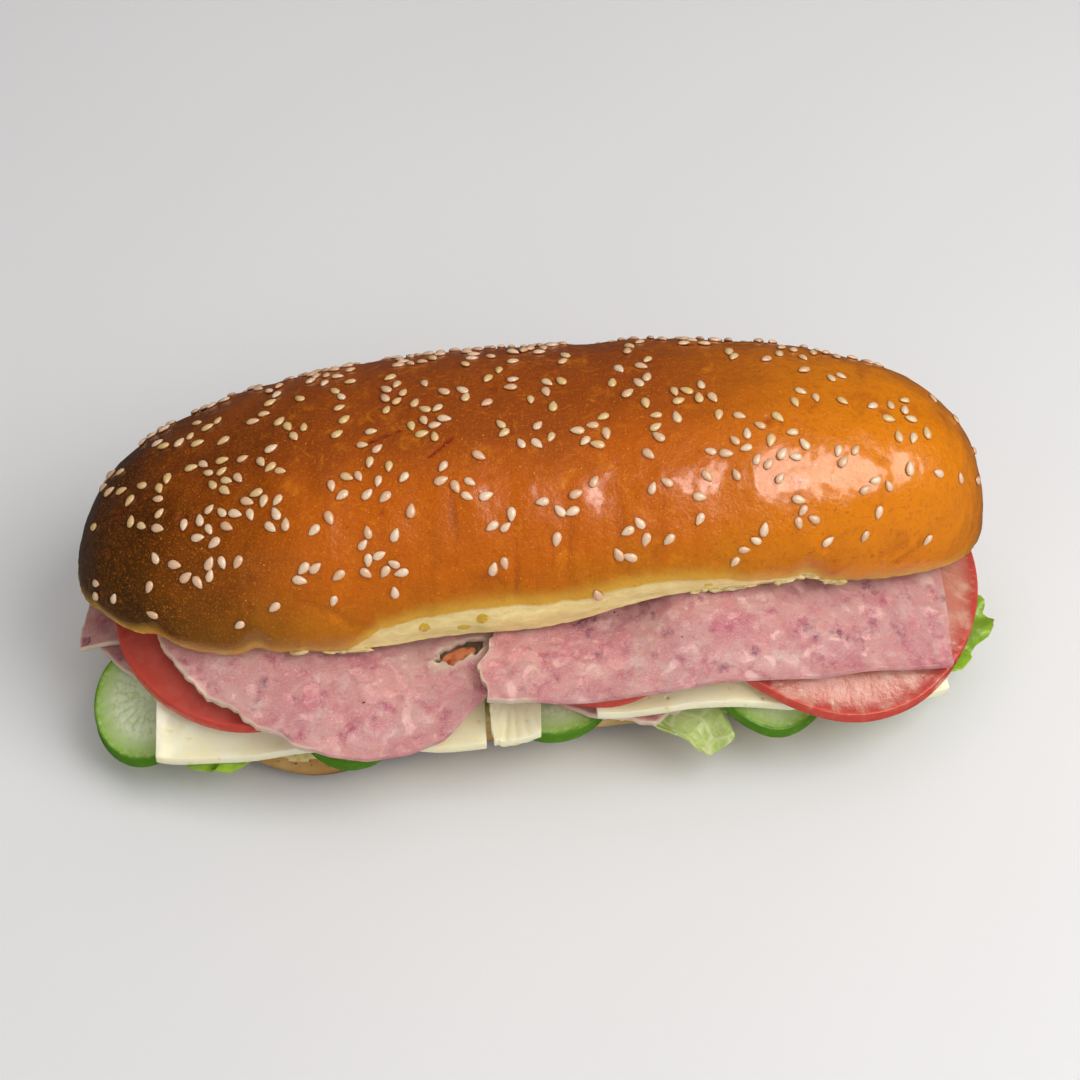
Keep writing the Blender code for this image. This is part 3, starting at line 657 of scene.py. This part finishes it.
# Top roll: the upper half, brushed with egg and baked dark. Its crust is thin, glossy and finely wrinkled, from
# mahogany on top over orange to gold at the rim, with pleats, blisters and a pale torn belt low at the front.
ROLL_HALF_LENGTH = 106.5 * MM
TOP_HALF_WIDTH = 39.2 * MM
TOP_HEIGHT = 37.4 * MM
FRONT_BELLIES = ((-0.70, 0.30, 3.2 * MM), (0.12, 0.36, 2.8 * MM))
TOP_TUCK = 2.6 * MM
TOP_TUCK_HEIGHT = 10.0 * MM
STATIONS = 560
TURNS = 150
CUT_STRIPS = 20
GRID_STEP = 1.0 * MM
CRATERS = 16
PLEAT_DEPTH = 0.4 * MM
BELT_DEPTH = 0.6 * MM
SCAR_DEPTH = 0.3 * MM
CREASE_DEPTH = 0.45 * MM
CRUST_RIM = "#B8821C"
CRUST_GOLD = "#B96F0A"
CRUST_ORANGE = "#C26204"
CRUST_AMBER = "#DC800A"
CRUST_COPPER = "#BE5C05"
CRUST_MAHOGANY = "#A34C0C"
CRUST_CREST = "#98460F"
# Olive and dark brown of the left end: partly its darker bake, partly painted shade.
CRUST_OLIVE_BAKE_AND_SHADE = "#4A2C08"
CRUST_DARK_BAKE_AND_SHADE = "#43200A"
CRUST_BRIGHT = "#E8921E"
CRUST_SCAR = "#84280E"
CRUST_FOLD = "#D9A53A"
BELT_CREAM = "#FFF0AC"
BELT_SHADE = "#F2DC92"

cad_roll = frame["nodes"]["top_roll"]
cad_tree = BVHTree.FromPolygons([v.co for v in cad_roll.data.vertices],
                                [p.vertices for p in cad_roll.data.polygons])
grid_x = np.arange(-115, 116) * GRID_STEP
grid_y = np.arange(-48, 49) * GRID_STEP
underside = np.full((len(grid_x), len(grid_y)), np.nan)
for i, x in enumerate(grid_x):
    for j, y in enumerate(grid_y):
        place, normal, _, _ = cad_tree.ray_cast(Vector((x, y, 0)), Vector((0, 0, 1)))
        if place and normal.z < -0.6:
            underside[i, j] = place.z
while np.isnan(underside).any():
    padded = np.pad(underside, 1, constant_values=np.nan)
    around = np.stack([padded[:-2, 1:-1], padded[2:, 1:-1], padded[1:-1, :-2], padded[1:-1, 2:]])
    known = ~np.isnan(around)
    total = np.where(known, around, 0).sum(axis=0)
    count = known.sum(axis=0)
    underside = np.where(np.isnan(underside) & (count > 0), total / np.maximum(count, 1), underside)
for _ in range(6):
    padded = np.pad(underside, 1, mode="edge")
    underside = (padded[:-2, 1:-1] + padded[2:, 1:-1] + padded[1:-1, :-2] + padded[1:-1, 2:]) / 4
mesh_x, mesh_y = np.meshgrid(grid_x, grid_y, indexing="ij")
near = ((np.abs(mesh_x) < 90 * MM) & (np.abs(mesh_y) < 32 * MM)).ravel()
columns = np.stack([np.ones(mesh_x.size), mesh_x.ravel(), mesh_y.ravel()], 1)
LEVEL, SLOPE_X, SLOPE_Y = np.linalg.lstsq(columns[near], underside.ravel()[near], rcond=None)[0]


def smooth(t):
    """Eases from 0 to 1."""
    t = min(max(t, 0.0), 1.0)
    return t * t * (3 - 2 * t)


def closing(t, power, root):
    """1 in the middle of a loaf and 0 at its ends, t = -1 and 1."""
    return max(0.0, 1 - abs(t) ** power) ** (1 / root)


def under(x, y):
    """The height of the roll's cut face."""
    i, j = (x - grid_x[0]) / GRID_STEP, (y - grid_y[0]) / GRID_STEP
    i0, j0 = int(i), int(j)
    u, v = i - i0, j - j0
    near_side = underside[i0, j0] * (1 - u) + underside[i0 + 1, j0] * u
    far_side = underside[i0, j0 + 1] * (1 - u) + underside[i0 + 1, j0 + 1] * u
    return near_side * (1 - v) + far_side * v


def half_width(s):
    """Half the roll's width, which falls off a little towards the right."""
    shape = closing(s, 3.2, 2.1) if s < 0 else closing(s, 3.6, 2.1)
    return TOP_HALF_WIDTH * shape * (1 - 0.09 * s)


def roll_point(s, turn, lumps=True):
    """A point of the crust. s runs from -1 to 1 along it and turn from 0 at the front rim to pi at the back."""
    shape = closing(s, 2.3, 1.95) if s < 0 else closing(s, 3.3, 2.2)
    wide, tall = half_width(s), TOP_HEIGHT * shape * (1 - 0.02 * s)
    c, sn = math.cos(turn), math.sin(turn)
    if lumps:
        fold = noise.noise(Vector((s * 13, 0.5 * turn, 1.3))) * sn ** 0.5 if sn > 0 else 0
        lump = noise.noise(Vector((s * 5.5, 1.1 * turn, 8.1)))
        swell = 1 + 0.014 * fold + 0.020 * lump
    else:
        swell = 1
    across = wide * math.copysign(abs(c) ** (2 / 2.25), c) * swell
    up = tall * max(sn, 0) ** (2 / 2.25) * swell
    tuck = TOP_TUCK * max(0, 1 - up / TOP_TUCK_HEIGHT) ** 2 * wide / TOP_HALF_WIDTH
    x = ROLL_HALF_LENGTH * s - math.copysign(tuck * abs(s) ** 4, s)
    belly = sum(depth * math.exp(-(((s - where) / width) ** 2)) for where, width, depth in FRONT_BELLIES)
    belly *= max(c, 0) ** 2
    bow = 4.8 if s < 0 else 6.0
    y = (0.8 + 1.0 * s - bow * s * s) * MM - across - belly + math.copysign(min(tuck, abs(across)), c)
    share = smooth(up / (0.7 * TOP_HEIGHT))
    base = under(x, y) * (1 - share) + (LEVEL + SLOPE_X * x + SLOPE_Y * y) * share
    return Vector((x, y, base + up))


def belt_height(x):
    """How high the pale torn belt stands over the front rim."""
    places = (-46, -41, -37, -30, -12, -5, 6, 16, 25, 33, 40, 44, 50, 66)
    heights = (0, 5.0, 8.5, 9.8, 10.9, 10.7, 9.7, 8.5, 7.6, 6.5, 5.3, 4.0, 2.6, 0)
    return float(np.interp(x / MM, places, heights)) * MM


def seed_chance(s, turn):
    """How likely a seed is to stick there: most lie on the crown, and fewer at the right end and by the rim."""
    low = 0.15 + 0.5 * smooth((-0.45 - s) / 0.25)
    high = 1.0 - 0.3 * smooth((s - 0.2) / 0.5)
    return half_width(s) / TOP_HALF_WIDTH * (low + (high - low) * smooth((math.sin(turn) - 0.15) / 0.6))


SOLID_SEEDS = 176
SEED_COUNT = 450
SEED_SPACING = 2.5 * MM
draw = random.Random(7)
seeds = []
while len(seeds) < SEED_COUNT:
    if seeds and draw.random() < 0.42:
        s, turn = draw.choice(seeds)[:2]
        s += draw.uniform(-0.035, 0.035)
        turn += draw.uniform(-0.11, 0.11)
    else:
        s = draw.uniform(-0.97, 0.97)
        turn = draw.uniform(0.18, math.pi - 0.18)
    if abs(s) > 0.975 or not 0.16 < turn < math.pi - 0.16 or draw.random() > seed_chance(s, turn):
        continue
    low_right = smooth((s - 0.05) / 0.2) * smooth((1.2 - turn) / 0.4)
    extra = 0.30 + 0.9 * smooth((turn - 0.8) / 0.7) + 0.5 * low_right
    if len(seeds) >= SOLID_SEEDS and draw.random() > extra:
        continue
    here = roll_point(s, turn)
    if all((here - seed[2]).length > SEED_SPACING for seed in seeds):
        seeds.append((s, turn, here, draw.uniform(0, 2 * math.pi), draw.uniform(0.88, 1.1)))

around = TURNS + CUT_STRIPS
rows = np.zeros((STATIONS, around, 3))
for i in range(STATIONS):
    s = -math.cos(math.pi * (i + 0.35) / (STATIONS - 0.3))
    for j in range(TURNS):
        rows[i, j] = roll_point(s, math.pi * j / (TURNS - 1))
    for j in range(CUT_STRIPS):
        place = rows[i, TURNS - 1] + (rows[i, 0] - rows[i, TURNS - 1]) * (j + 1) / (CUT_STRIPS + 1)
        rows[i, TURNS + j] = (place[0], place[1], under(place[0], place[1]))
outward = np.cross(np.gradient(rows, axis=1), np.gradient(rows, axis=0))
outward /= np.maximum(np.linalg.norm(outward, axis=2, keepdims=True), 1e-12)
if outward[STATIONS // 2, TURNS // 2, 2] < 0:
    outward = -outward
steps = np.linalg.norm(np.diff(rows[:, :TURNS], axis=1), axis=2)
front_way = np.concatenate([np.zeros((STATIONS, 1)), np.cumsum(steps, axis=1)], axis=1)
rim_way = np.minimum(front_way, front_way[:, -1:] - front_way)
belt = np.array([[belt_height(p[0]) - way for p, way in zip(row, ways)] for row, ways in zip(rows, front_way)])

draw = random.Random(11)
craters = []
while len(craters) < CRATERS:
    s, turn = draw.uniform(-0.9, 0.9), draw.uniform(0.35, 2.6)
    craters.append((roll_point(s, turn), draw.uniform(0.8, 1.7) * MM, draw.uniform(0.25, 0.5) * MM))
SCARS = [((-24, -17), (-19, -13)), ((-38, -11), (-30, -8.5)), ((36, 17), (52, 18.5))]
push = np.zeros((STATIONS, TURNS))
scar = np.zeros((STATIONS, TURNS))
pleats = np.zeros((STATIONS, TURNS))
for i in range(STATIONS):
    for j in range(TURNS):
        x, y, z = rows[i, j]
        low = front_way[i, j] / MM
        here = Vector(rows[i, j])
        window = 0.25 + 0.75 * smooth((x / MM + 42) / 12) * smooth((34 - x / MM) / 14)
        pleat = noise.noise(Vector((x / (4.4 * MM), low / 34, 4.0))) + 0.4 * noise.noise(
            Vector((x / (1.9 * MM), low / 20, 9.0)))
        broken = 0.55 + 0.9 * noise.noise(here / (13 * MM))
        pleats[i, j] = pleat * window * broken * smooth((low - 7) / 8) * smooth((46 - low) / 20)
        push[i, j] = PLEAT_DEPTH * pleats[i, j]
        push[i, j] += 0.26 * MM * noise.noise(here / (5.5 * MM)) + 0.10 * MM * noise.noise(here / (1.9 * MM))
        ragged = noise.noise(here / (3.0 * MM)) + 0.5 * noise.noise(here / (1.0 * MM))
        belt[i, j] = belt[i, j] / MM + 0.6 * ragged
        push[i, j] -= BELT_DEPTH * smooth(belt[i, j] / 1.6) * smooth((belt_height(x) / MM - 3) / 4)
        rim = max(0.0, 1 - rim_way[i, j] / (2.4 * MM))
        push[i, j] += rim * 0.5 * MM * noise.noise(here / (1.6 * MM))
for middle, radius, deep in craters:
    off = np.linalg.norm(rows[:, :TURNS] - np.array(middle), axis=2) / radius
    push += deep * (0.55 * np.exp(-((off - 1.25) / 0.4) ** 2) - 1.0 * np.exp(-(off / 0.75) ** 2))
    scar = np.maximum(scar, 0.5 * np.exp(-(off / 1.1) ** 2))
wander = np.array([[noise.noise(Vector(p) / (1.6 * MM)) for p in row] for row in rows[:, :TURNS]])
for (x0, y0), (x1, y1) in SCARS:
    start, span = np.array((x0, y0)) * MM, np.array((x1 - x0, y1 - y0)) * MM
    spokes = rows[:, :TURNS, :2] - start
    along = np.clip((spokes @ span) / (span @ span), 0, 1)
    off = np.linalg.norm(spokes - along[:, :, None] * span, axis=2) / (0.42 * MM) + 0.7 * wander
    over = rows[:, :TURNS, 2] > 50 * MM
    scar = np.maximum(scar, np.exp(-off ** 2) * over)
    push -= SCAR_DEPTH * np.exp(-off ** 2) * over
crease = np.array([(-53, 52.5), (-47.7, 50.2), (-44, 46.5), (-39, 43.8)]) * MM
for (x0, z0), (x1, z1) in zip(crease, crease[1:]):
    spokes = rows[:, :TURNS][:, :, [0, 2]] - (x0, z0)
    span = np.array((x1 - x0, z1 - z0))
    along = np.clip((spokes @ span) / (span @ span), 0, 1)
    off = np.linalg.norm(spokes - along[:, :, None] * span, axis=2) / (1.0 * MM)
    push -= CREASE_DEPTH * np.exp(-off ** 2) * (rows[:, :TURNS, 1] < 0)
rows[:, :TURNS] += outward[:, :TURNS] * (push * np.clip(rim_way / (0.6 * MM), 0.3, 1))[:, :, None]

bpy.ops.object.select_all(action="DESELECT")
bpy.ops.mesh.primitive_grid_add(x_subdivisions=around, y_subdivisions=STATIONS - 1, size=1)
top = bpy.context.active_object
top.name = "top_roll_crust"
mesh = top.data
closed = np.concatenate([rows, rows[:, :1]], axis=1)
mesh.vertices.foreach_set("co", closed.ravel())
for name, value in (("rim_way", rim_way / MM), ("belt", belt), ("scar", scar), ("pleat", pleats)):
    full = np.zeros((STATIONS, around + 1))
    full[:, :TURNS] = value
    full[:, -1] = value[:, 0]
    keep(top, name, full.ravel())
cut = np.tile(np.arange(around) >= TURNS - 1, STATIONS - 1).astype(np.int32)
mesh.polygons.foreach_set("material_index", cut)
mesh.update()
bpy.ops.object.mode_set(mode="EDIT")
bpy.ops.mesh.select_all(action="SELECT")
bpy.ops.mesh.remove_doubles(threshold=0.00001)
bpy.ops.mesh.select_all(action="DESELECT")
bpy.ops.mesh.select_mode(type="EDGE")
bpy.ops.mesh.select_non_manifold()
bpy.ops.mesh.fill()
bpy.ops.mesh.select_all(action="SELECT")
bpy.ops.mesh.normals_make_consistent(inside=False)
bpy.ops.mesh.select_mode(type="VERT")
bpy.ops.object.mode_set(mode="OBJECT")
bpy.ops.object.shade_smooth_by_angle(angle=math.radians(70))

crust, shader = new_material("egg_washed_crust", Roughness=0.32, IOR=1.4, Specular_IOR_Level=0.2,
                             Coat_Weight=0.8, Coat_Roughness=0.16, Coat_IOR=1.4)
place = place_on(crust)
along = add(crust, "ShaderNodeSeparateXYZ", {0: place}).outputs["X"]
way = kept(crust, "rim_way")
drift = maths(crust, "ADD", way, maths(crust, "MULTIPLY", mottle(crust, 16 * MM, 4, 0.6), 26.0))
share = add(crust, "ShaderNodeMapRange", {"Value": drift, "From Min": 13.0, "From Max": 66.0}).outputs["Result"]
tone = add(crust, "ShaderNodeValToRGB", {0: share}, stops=[
    (0.0, CRUST_RIM), (0.14, CRUST_GOLD), (0.38, CRUST_ORANGE), (0.72, CRUST_COPPER),
    (0.92, CRUST_MAHOGANY), (1.0, CRUST_CREST)]).outputs["Color"]
tone = between(crust, along, 0.020, 0.085, tone, CRUST_AMBER)
clouds = mottle(crust, 9 * MM, 4, 0.5, (1, 1, 1), 0.6, (2, 0, 0))
tone = between(crust, clouds, 0.52, 0.90, tone, CRUST_MAHOGANY)
clouds = mottle(crust, 5 * MM, 4, 0.8, (1, 1, 1), 0.65, (0, 4, 1))
tone = between(crust, clouds, 0.52, 0.85, tone, CRUST_AMBER)
# Darker towards the left end: partly a darker bake, partly painted shade on the side away from the lamps.
left_bake_and_shade = maths(crust, "ADD", along, maths(crust, "MULTIPLY", mottle(crust, 24 * MM, 3), 0.045))
tone = between(crust, left_bake_and_shade, -0.020, -0.075, tone, between(crust, way, 14, 36, CRUST_OLIVE_BAKE_AND_SHADE, CRUST_DARK_BAKE_AND_SHADE))
# Painted shade: the hollows of the pleats are darkened towards mahogany.
pleat = kept(crust, "pleat")
tone = between(crust, pleat, -0.05, -0.5, tone, CRUST_MAHOGANY)
scar = kept(crust, "scar")
tone = between(crust, scar, 0.15, 0.8, tone, CRUST_SCAR)
tone = between(crust, mottle(crust, 1.3 * MM, 4, 0.6, (1, 1, 1), 0.65), 0.50, 0.85, tone, CRUST_MAHOGANY)
tone = between(crust, mottle(crust, 0.45 * MM, 3), 0.50, 0.95, tone, CRUST_BRIGHT)
dots = add(crust, "ShaderNodeTexVoronoi", {"Vector": place, "Scale": 1 / (1.5 * MM)})
lucky = add(crust, "ShaderNodeSeparateColor", {0: dots.outputs["Color"]}).outputs[0]
dot = add(crust, "ShaderNodeMapRange", {"Value": dots.outputs["Distance"], "From Min": 0.22, "From Max": 0.08})
dot = maths(crust, "MULTIPLY", dot.outputs["Result"], lucky)
tone = between(crust, dot, 0.45, 1.0, tone, CRUST_BRIGHT)
belt_share = kept(crust, "belt")
cream = between(crust, mottle(crust, 2 * MM, 4, 0.2, (0.5, 1, 1)), 0.3, 0.7, BELT_SHADE, BELT_CREAM)
tone = between(crust, belt_share, -6.0, -0.5, tone, between(crust, belt_share, -8.0, 0.5, tone, CRUST_FOLD))
tone = between(crust, belt_share, -0.5, 0.8, tone, cream)
paint(crust, shader, tone)
wrinkle = mottle(crust, 0.8 * MM, 3, 0.5, (1, 1, 1), 0.6)
relief(crust, shader, [(mottle(crust, 3.2 * MM, 3), 0.35 * MM), (wrinkle, 0.14 * MM), (dot, 0.12 * MM)])
dull = add(crust, "ShaderNodeMapRange", {"Value": belt_share, "From Min": -0.7, "From Max": 0.9,
                                         "To Min": 0.30, "To Max": 0.6}).outputs["Result"]
crust.node_tree.links.new(dull, shader.inputs["Roughness"])
mesh.materials.append(crust)
mesh.materials.append(crumb)
hand_over(top, "crust", "top_roll")


# Crumbs at the rim: soft white and cream flakes of crumb that the knife tore out along the front of the cut.
CRUMBS_LEFT = 13
CRUMBS_RIGHT = 34


def scattered(name, points, polygons):
    """Many small smooth pieces as one."""
    bpy.ops.object.select_all(action="DESELECT")
    mesh = bpy.data.meshes.new(name)
    mesh.from_pydata(points, [], polygons)
    pieces = bpy.data.objects.new(name, mesh)
    bpy.context.collection.objects.link(pieces)
    bpy.context.view_layer.objects.active = pieces
    pieces.select_set(True)
    bpy.ops.object.shade_smooth()
    return pieces


bpy.ops.object.select_all(action="DESELECT")
bpy.ops.mesh.primitive_ico_sphere_add(subdivisions=3, radius=1)
one = bpy.context.active_object
ball = [v.co.copy() for v in one.data.vertices]
ball_faces = [tuple(p.vertices) for p in one.data.polygons]
bpy.ops.object.delete()
draw = random.Random(5)
places = [draw.uniform(-57, -40) for _ in range(CRUMBS_LEFT)]
places += [draw.uniform(33, 68) for _ in range(CRUMBS_RIGHT)]
points, polygons = [], []
for k, x in enumerate(places):
    i = int(np.argmin(np.abs(rows[:, 0, 0] - x * MM)))
    rim = Vector(rows[i, 0]) + Vector((0, draw.uniform(-0.5, 0.3), draw.uniform(-0.3, 0.6))) * MM
    size = Vector((draw.uniform(0.7, 1.9), draw.uniform(0.35, 0.6), draw.uniform(0.3, 0.65))) * MM
    slant = Matrix.Rotation(draw.uniform(-0.3, 0.3), 3, "Y")
    polygons += [tuple(v + len(points) for v in face) for face in ball_faces]
    for v in ball:
        lump = 1 + 0.45 * noise.noise(v * 1.6 + Vector((k, 0, 0)))
        points.append(rim + slant @ Vector((v.x * size.x, v.y * size.y, v.z * size.z)) * lump)
rim_crumbs = scattered("rim_crumbs", points, polygons)
rim_crumbs.data.materials.append(crumb)
hand_over(rim_crumbs, "bread")


# Oil: four small drops of yellow oil that ran out of the filling and stand on the pale belt, clear and glossy.
OIL_YELLOW = "#F0D45A"
OIL_PALE = "#F6E07A"
DROPS = ((-27.3, 5.6, 1.3, 1.7), (-14.5, 6.6, 1.3, 1.7), (-18.5, 3.2, 1.5, 1.0), (36.0, 3.4, 1.0, 0.6))

oil, shader = new_material("yellow_oil", Roughness=0.06, IOR=1.47, Transmission_Weight=0.75)
oil_colour = between(oil, mottle(oil, 2 * MM, 2), 0.3, 0.7, OIL_YELLOW, OIL_PALE)
paint(oil, shader, oil_colour)
points, polygons = [], []
for x, height, wide, tall in DROPS:
    i = int(np.argmin(np.abs(rows[:, 0, 0] - x * MM)))
    j = int(np.argmin(np.abs(front_way[i] - height * MM)))
    out, centre = Vector(outward[i, j]), Vector(rows[i, j])
    across = Vector((1, 0, 0)) - out * out.x
    over = out.cross(across)
    polygons += [tuple(v + len(points) for v in face) for face in ball_faces]
    for v in ball:
        lump = 1 + 0.12 * noise.noise(v * 1.3 + Vector((x, 0, 0)))
        points.append(centre + (across * v.x * wide + over * v.y * tall + out * v.z * 0.42) * lump * MM)
drops = scattered("oil_drops", points, polygons)
drops.data.materials.append(oil)
hand_over(drops, "crust")


# Sesame seeds: hulled white seeds, strewn on the wet egg wash and baked in. Each is a flat drop, cream-white
# and yellower on the crest, and its foot is painted dark brown: partly wash dried round it, partly painted
# shade.
SEED_LENGTH = 3.2 * MM
SEED_WIDTH = 2.0 * MM
SEED_THICKNESS = 1.3 * MM
SEED_RISE = 0.22 * MM
SEED_PALE = "#EBD0B4"
SEED_CREAM = "#DDB592"
SEED_CREST_YELLOW = "#DFC084"
SEED_FOOT_WASH_AND_SHADE = "#7A3A14"

bpy.ops.object.select_all(action="DESELECT")
bpy.ops.mesh.primitive_uv_sphere_add(segments=12, ring_count=7, radius=1)
one = bpy.context.active_object
shape = np.array([v.co for v in one.data.vertices])
faces = [tuple(p.vertices) for p in one.data.polygons]
bpy.ops.object.delete()
taper = 0.96 - 0.30 * shape[:, 0] - 0.14 * shape[:, 0] ** 2
shape = np.stack([shape[:, 0] * SEED_LENGTH / 2, shape[:, 1] * taper * SEED_WIDTH / 2,
                  shape[:, 2] * (0.55 + 0.45 * taper) * SEED_THICKNESS / 2], axis=1)
points, polygons, tones, feet, crest_yellows = [], [], [], [], []
for k, (s, turn, here, spin, size) in enumerate(seeds):
    step = 0.01
    along_it = roll_point(min(s + step, 0.999), turn) - roll_point(max(s - step, -0.999), turn)
    round_it = roll_point(s, min(turn + step, 3.1)) - roll_point(s, max(turn - step, 0.04))
    normal = along_it.cross(round_it).normalized()
    turned = (normal.to_track_quat("Z", "Y").to_matrix() @ Matrix.Rotation(spin, 3, "Z"))
    placed = (shape * size) @ np.array(turned).T + np.array(here + normal * SEED_RISE)
    points.append(placed)
    polygons += [tuple(v + k * len(shape) for v in face) for face in faces]
    tones += [draw.random()] * len(shape)
    feet += list(shape[:, 2] / (SEED_THICKNESS / 2))
    crest_yellows += [smooth((math.sin(turn) - 0.7) / 0.3) * (0.4 + 0.6 * draw.random())] * len(shape)
sesame = scattered("sesame_seeds", np.concatenate(points).tolist(), polygons)
for name, value in (("tone", tones), ("foot", feet), ("toast", crest_yellows)):
    keep(sesame, name, value)

seed, shader = new_material("hulled_sesame", Roughness=0.38, IOR=1.47, Coat_Weight=0.25, Coat_Roughness=0.2)
let_light_in(shader, 0.25, (1.0, 0.75, 0.4), 0.8 * MM)
tone = kept(seed, "tone")
foot = kept(seed, "foot")
toast = kept(seed, "toast")
colour = between(seed, tone, 0.0, 1.0, SEED_PALE, SEED_CREAM)
# Seeds high on the crest are yellower.
colour = between(seed, toast, 0.35, 1.0, colour, SEED_CREST_YELLOW)
colour = between(seed, mottle(seed, 0.8 * MM, 2), 0.55, 0.8, colour, SEED_CREAM)
# The seed's lower part is dark brown: partly wash dried round its foot, partly painted shade where it meets the
# crust.
colour = between(seed, foot, -0.25, 0.38, SEED_FOOT_WASH_AND_SHADE, colour)
paint(seed, shader, colour)
relief(seed, shader, [(mottle(seed, 0.5 * MM, 2), 0.05 * MM)])
sesame.data.materials.append(seed)
hand_over(sesame, "crust")


# Stage: a plain pale table top under soft studio light. Two window-like lamps, in front and to the right, give
# the crust its highlights, and five broad ones light the food. The camera stands in front, looking down.
FLOOR_COLOUR = "#EDF0F5"
FLOOR_SHADE = "#E9ECF1"
LAMP_WHITE = "#FFFAF4"
AIR_WHITE = "#F2F2F4"
FLOOR_SIZE = 8.0
CAMERA_AZIMUTH = math.radians(-5)
CAMERA_ELEVATION = math.radians(48)
CAMERA_DISTANCE = 0.607
CAMERA_TARGET = Vector((1.7, 0, 25)) * MM

bpy.ops.object.select_all(action="DESELECT")
bpy.ops.mesh.primitive_plane_add(size=FLOOR_SIZE)
floor = bpy.context.active_object
floor.name = "floor"
table, shader = new_material("matte_pale_table", Roughness=0.7, IOR=1.45)
shade = between(table, mottle(table, 300 * MM, 2), 0.3, 0.7, FLOOR_COLOUR, FLOOR_SHADE)
paint(table, shader, shade)
floor.data.materials.append(table)
floor.visible_glossy = False


def lamp(name, place, aim, size, power, glossy):
    """A soft box. A glossy one shows in reflections only, and the others light the sandwich without showing."""
    light = bpy.data.lights.new(name, "AREA")
    light.shape = "RECTANGLE"
    light.size, light.size_y = size
    light.energy = power
    light.color = linear(LAMP_WHITE)[:3]
    holder = bpy.data.objects.new(name, light)
    holder.location = place
    holder.rotation_euler = (Vector(aim) - Vector(place)).to_track_quat("-Z", "Y").to_euler()
    holder.visible_glossy = glossy
    holder.visible_diffuse = not glossy
    bpy.context.collection.objects.link(holder)


lamp("window_right", (0.597, -0.325, 0.663), (0.071, -0.023, 0.067), (0.52, 0.62), 9.5, True)
lamp("window_front", (0.300, -0.362, 0.805), (0.034, -0.026, 0.070), (0.10, 0.42), 1.6, True)
lamp("key", (0.50, -0.30, 0.72), (0, 0, 0.03), (0.7, 0.7), 6.4, False)
lamp("fill", (-0.15, -1.0, 0.60), (0, 0, 0.03), (1.6, 1.2), 5.0, False)
lamp("sky", (-0.05, 0.3, 1.3), (0, 0, 0.03), (1.2, 1.2), 4.2, False)
lamp("left", (-0.9, -0.35, 0.75), (0, 0, 0.03), (1.2, 1.0), 1.1, False)
lamp("back", (0.2, 1.0, 0.7), (0, 0, 0.03), (1.2, 0.8), 1.6, False)

world = bpy.data.worlds.new("studio")
world.use_nodes = True
air = world.node_tree.nodes["Background"]
air.inputs["Color"].default_value = linear(AIR_WHITE)
air.inputs["Strength"].default_value = 0.05
bpy.context.scene.world = world

back = Vector((math.sin(CAMERA_AZIMUTH) * math.cos(CAMERA_ELEVATION),
               -math.cos(CAMERA_AZIMUTH) * math.cos(CAMERA_ELEVATION), math.sin(CAMERA_ELEVATION)))
right = Vector((math.cos(CAMERA_AZIMUTH), math.sin(CAMERA_AZIMUTH), 0))
upward = back.cross(right)
view = bpy.data.cameras.new("camera")
view.lens = 85
view.sensor_width = 36
camera = bpy.data.objects.new("camera", view)
turned = Matrix((right, upward, back)).transposed().to_4x4()
camera.matrix_world = Matrix.Translation(CAMERA_TARGET + CAMERA_DISTANCE * back) @ turned
bpy.context.collection.objects.link(camera)
bpy.context.scene.camera = camera
bpy.context.scene.view_settings.view_transform = "Standard"
